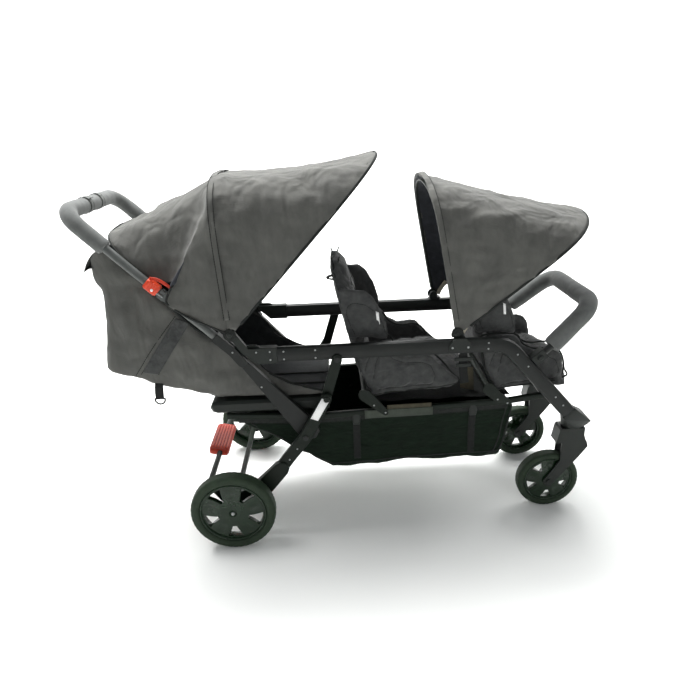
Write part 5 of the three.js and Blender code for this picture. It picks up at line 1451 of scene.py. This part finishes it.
# Cream elastic loops that draw the front canopy's foot to the rail
loops = []
for s in (-1, 1):
    line = through([(677, s * 181, 640), (669, s * 182.5, 628), (659, s * 183, 612),
                    (655, s * 182.5, 604), (652, s * 182, 597)], 6)
    loops.append(tape(line, 13, 1.6, (0.7, 0, -0.7)))
sewn("front_canopy_elastics", "front_canopy_rear", "canopy_fabric", CREAM, *loops)


# Camera, floor and light

# Where the photograph was taken from, in metres, with the lens as for a 36 mm sensor
LENS = 28.95
CAMERA_AT = (-0.0262, -1.585, 1.134)
RIGHT, UP, AHEAD = ((0.99873, -0.03576, -0.03531), (0.04619, 0.37634, 0.92532),
                    (0.01980, 0.92579, -0.37752))
camera_data = bpy.data.cameras.new("camera")
camera_data.sensor_width = 36
camera_data.lens = LENS
camera = bpy.data.objects.new("camera", camera_data)
scene.collection.objects.link(camera)
camera.matrix_world = Matrix([(RIGHT[k], UP[k], -AHEAD[k], CAMERA_AT[k]) for k in range(3)]
                             + [(0, 0, 0, 1)])
scene.camera = camera

# Plain pale floor, swept up behind into a backdrop
FLOOR = bpy.data.materials.new("painted_studio_floor")
FLOOR.use_nodes = True
shader = FLOOR.node_tree.nodes["Principled BSDF"]
shader.inputs["Base Color"].default_value = linear("#f4f5f3")
shader.inputs["Roughness"].default_value = 0.95
shader.inputs["Specular IOR Level"].default_value = 0.1
# The floor's front and back edge and the radius of its sweep
FLOOR_FRONT, FLOOR_BACK, SWEEP = -6000, 2400, 2200
rows = []
for k in range(80):
    if k < 30:
        y, z = FLOOR_FRONT + (FLOOR_BACK - FLOOR_FRONT) * k / 29, 0
    elif k < 70:
        a = math.pi / 2 * (k - 29) / 40
        y, z = FLOOR_BACK + SWEEP * math.sin(a), SWEEP * (1 - math.cos(a))
    else:
        y, z = FLOOR_BACK + SWEEP, SWEEP + 300 * (k - 69)
    rows.append([Vector((x + SHIFT, y, z - 0.4)) for x in range(-9000, 9001, 1500)])
floor = make("studio_floor", grid(rows), FLOOR, even=False)


def softbox(name, place, aim, size, watts):
    """A large soft lamp."""
    lamp = bpy.data.lights.new(name, "AREA")
    lamp.shape, lamp.size, lamp.energy = "DISK", size, watts
    ob = bpy.data.objects.new(name, lamp)
    scene.collection.objects.link(ob)
    ob.location = place
    ob.rotation_euler = (Vector(aim) - Vector(place)).to_track_quat("-Z", "Y").to_euler()


# Each lamp's place, what it points at, its size in metres and its watts
MIDDLE = (0, 0, 0.5)
softbox("key_light", (-1.6, 0.7, 3.4), MIDDLE, 2.2, 178)
softbox("fill_light", (1.2, -3.4, 2.2), MIDDLE, 2.4, 13)
softbox("rim_light", (2.4, 1.8, 2.8), (0.3, 0, 0.7), 2.0, 48)
softbox("backdrop_light", (0, 1.9, 4.6), (0, 4.4, 1.2), 3.0, 420)
world = bpy.data.worlds.new("studio")
world.use_nodes = True
world.node_tree.nodes["Background"].inputs["Color"].default_value = (0.95, 0.98, 1.0, 1)
world.node_tree.nodes["Background"].inputs["Strength"].default_value = 0.36
scene.world = world
scene.view_settings.view_transform = "Standard"
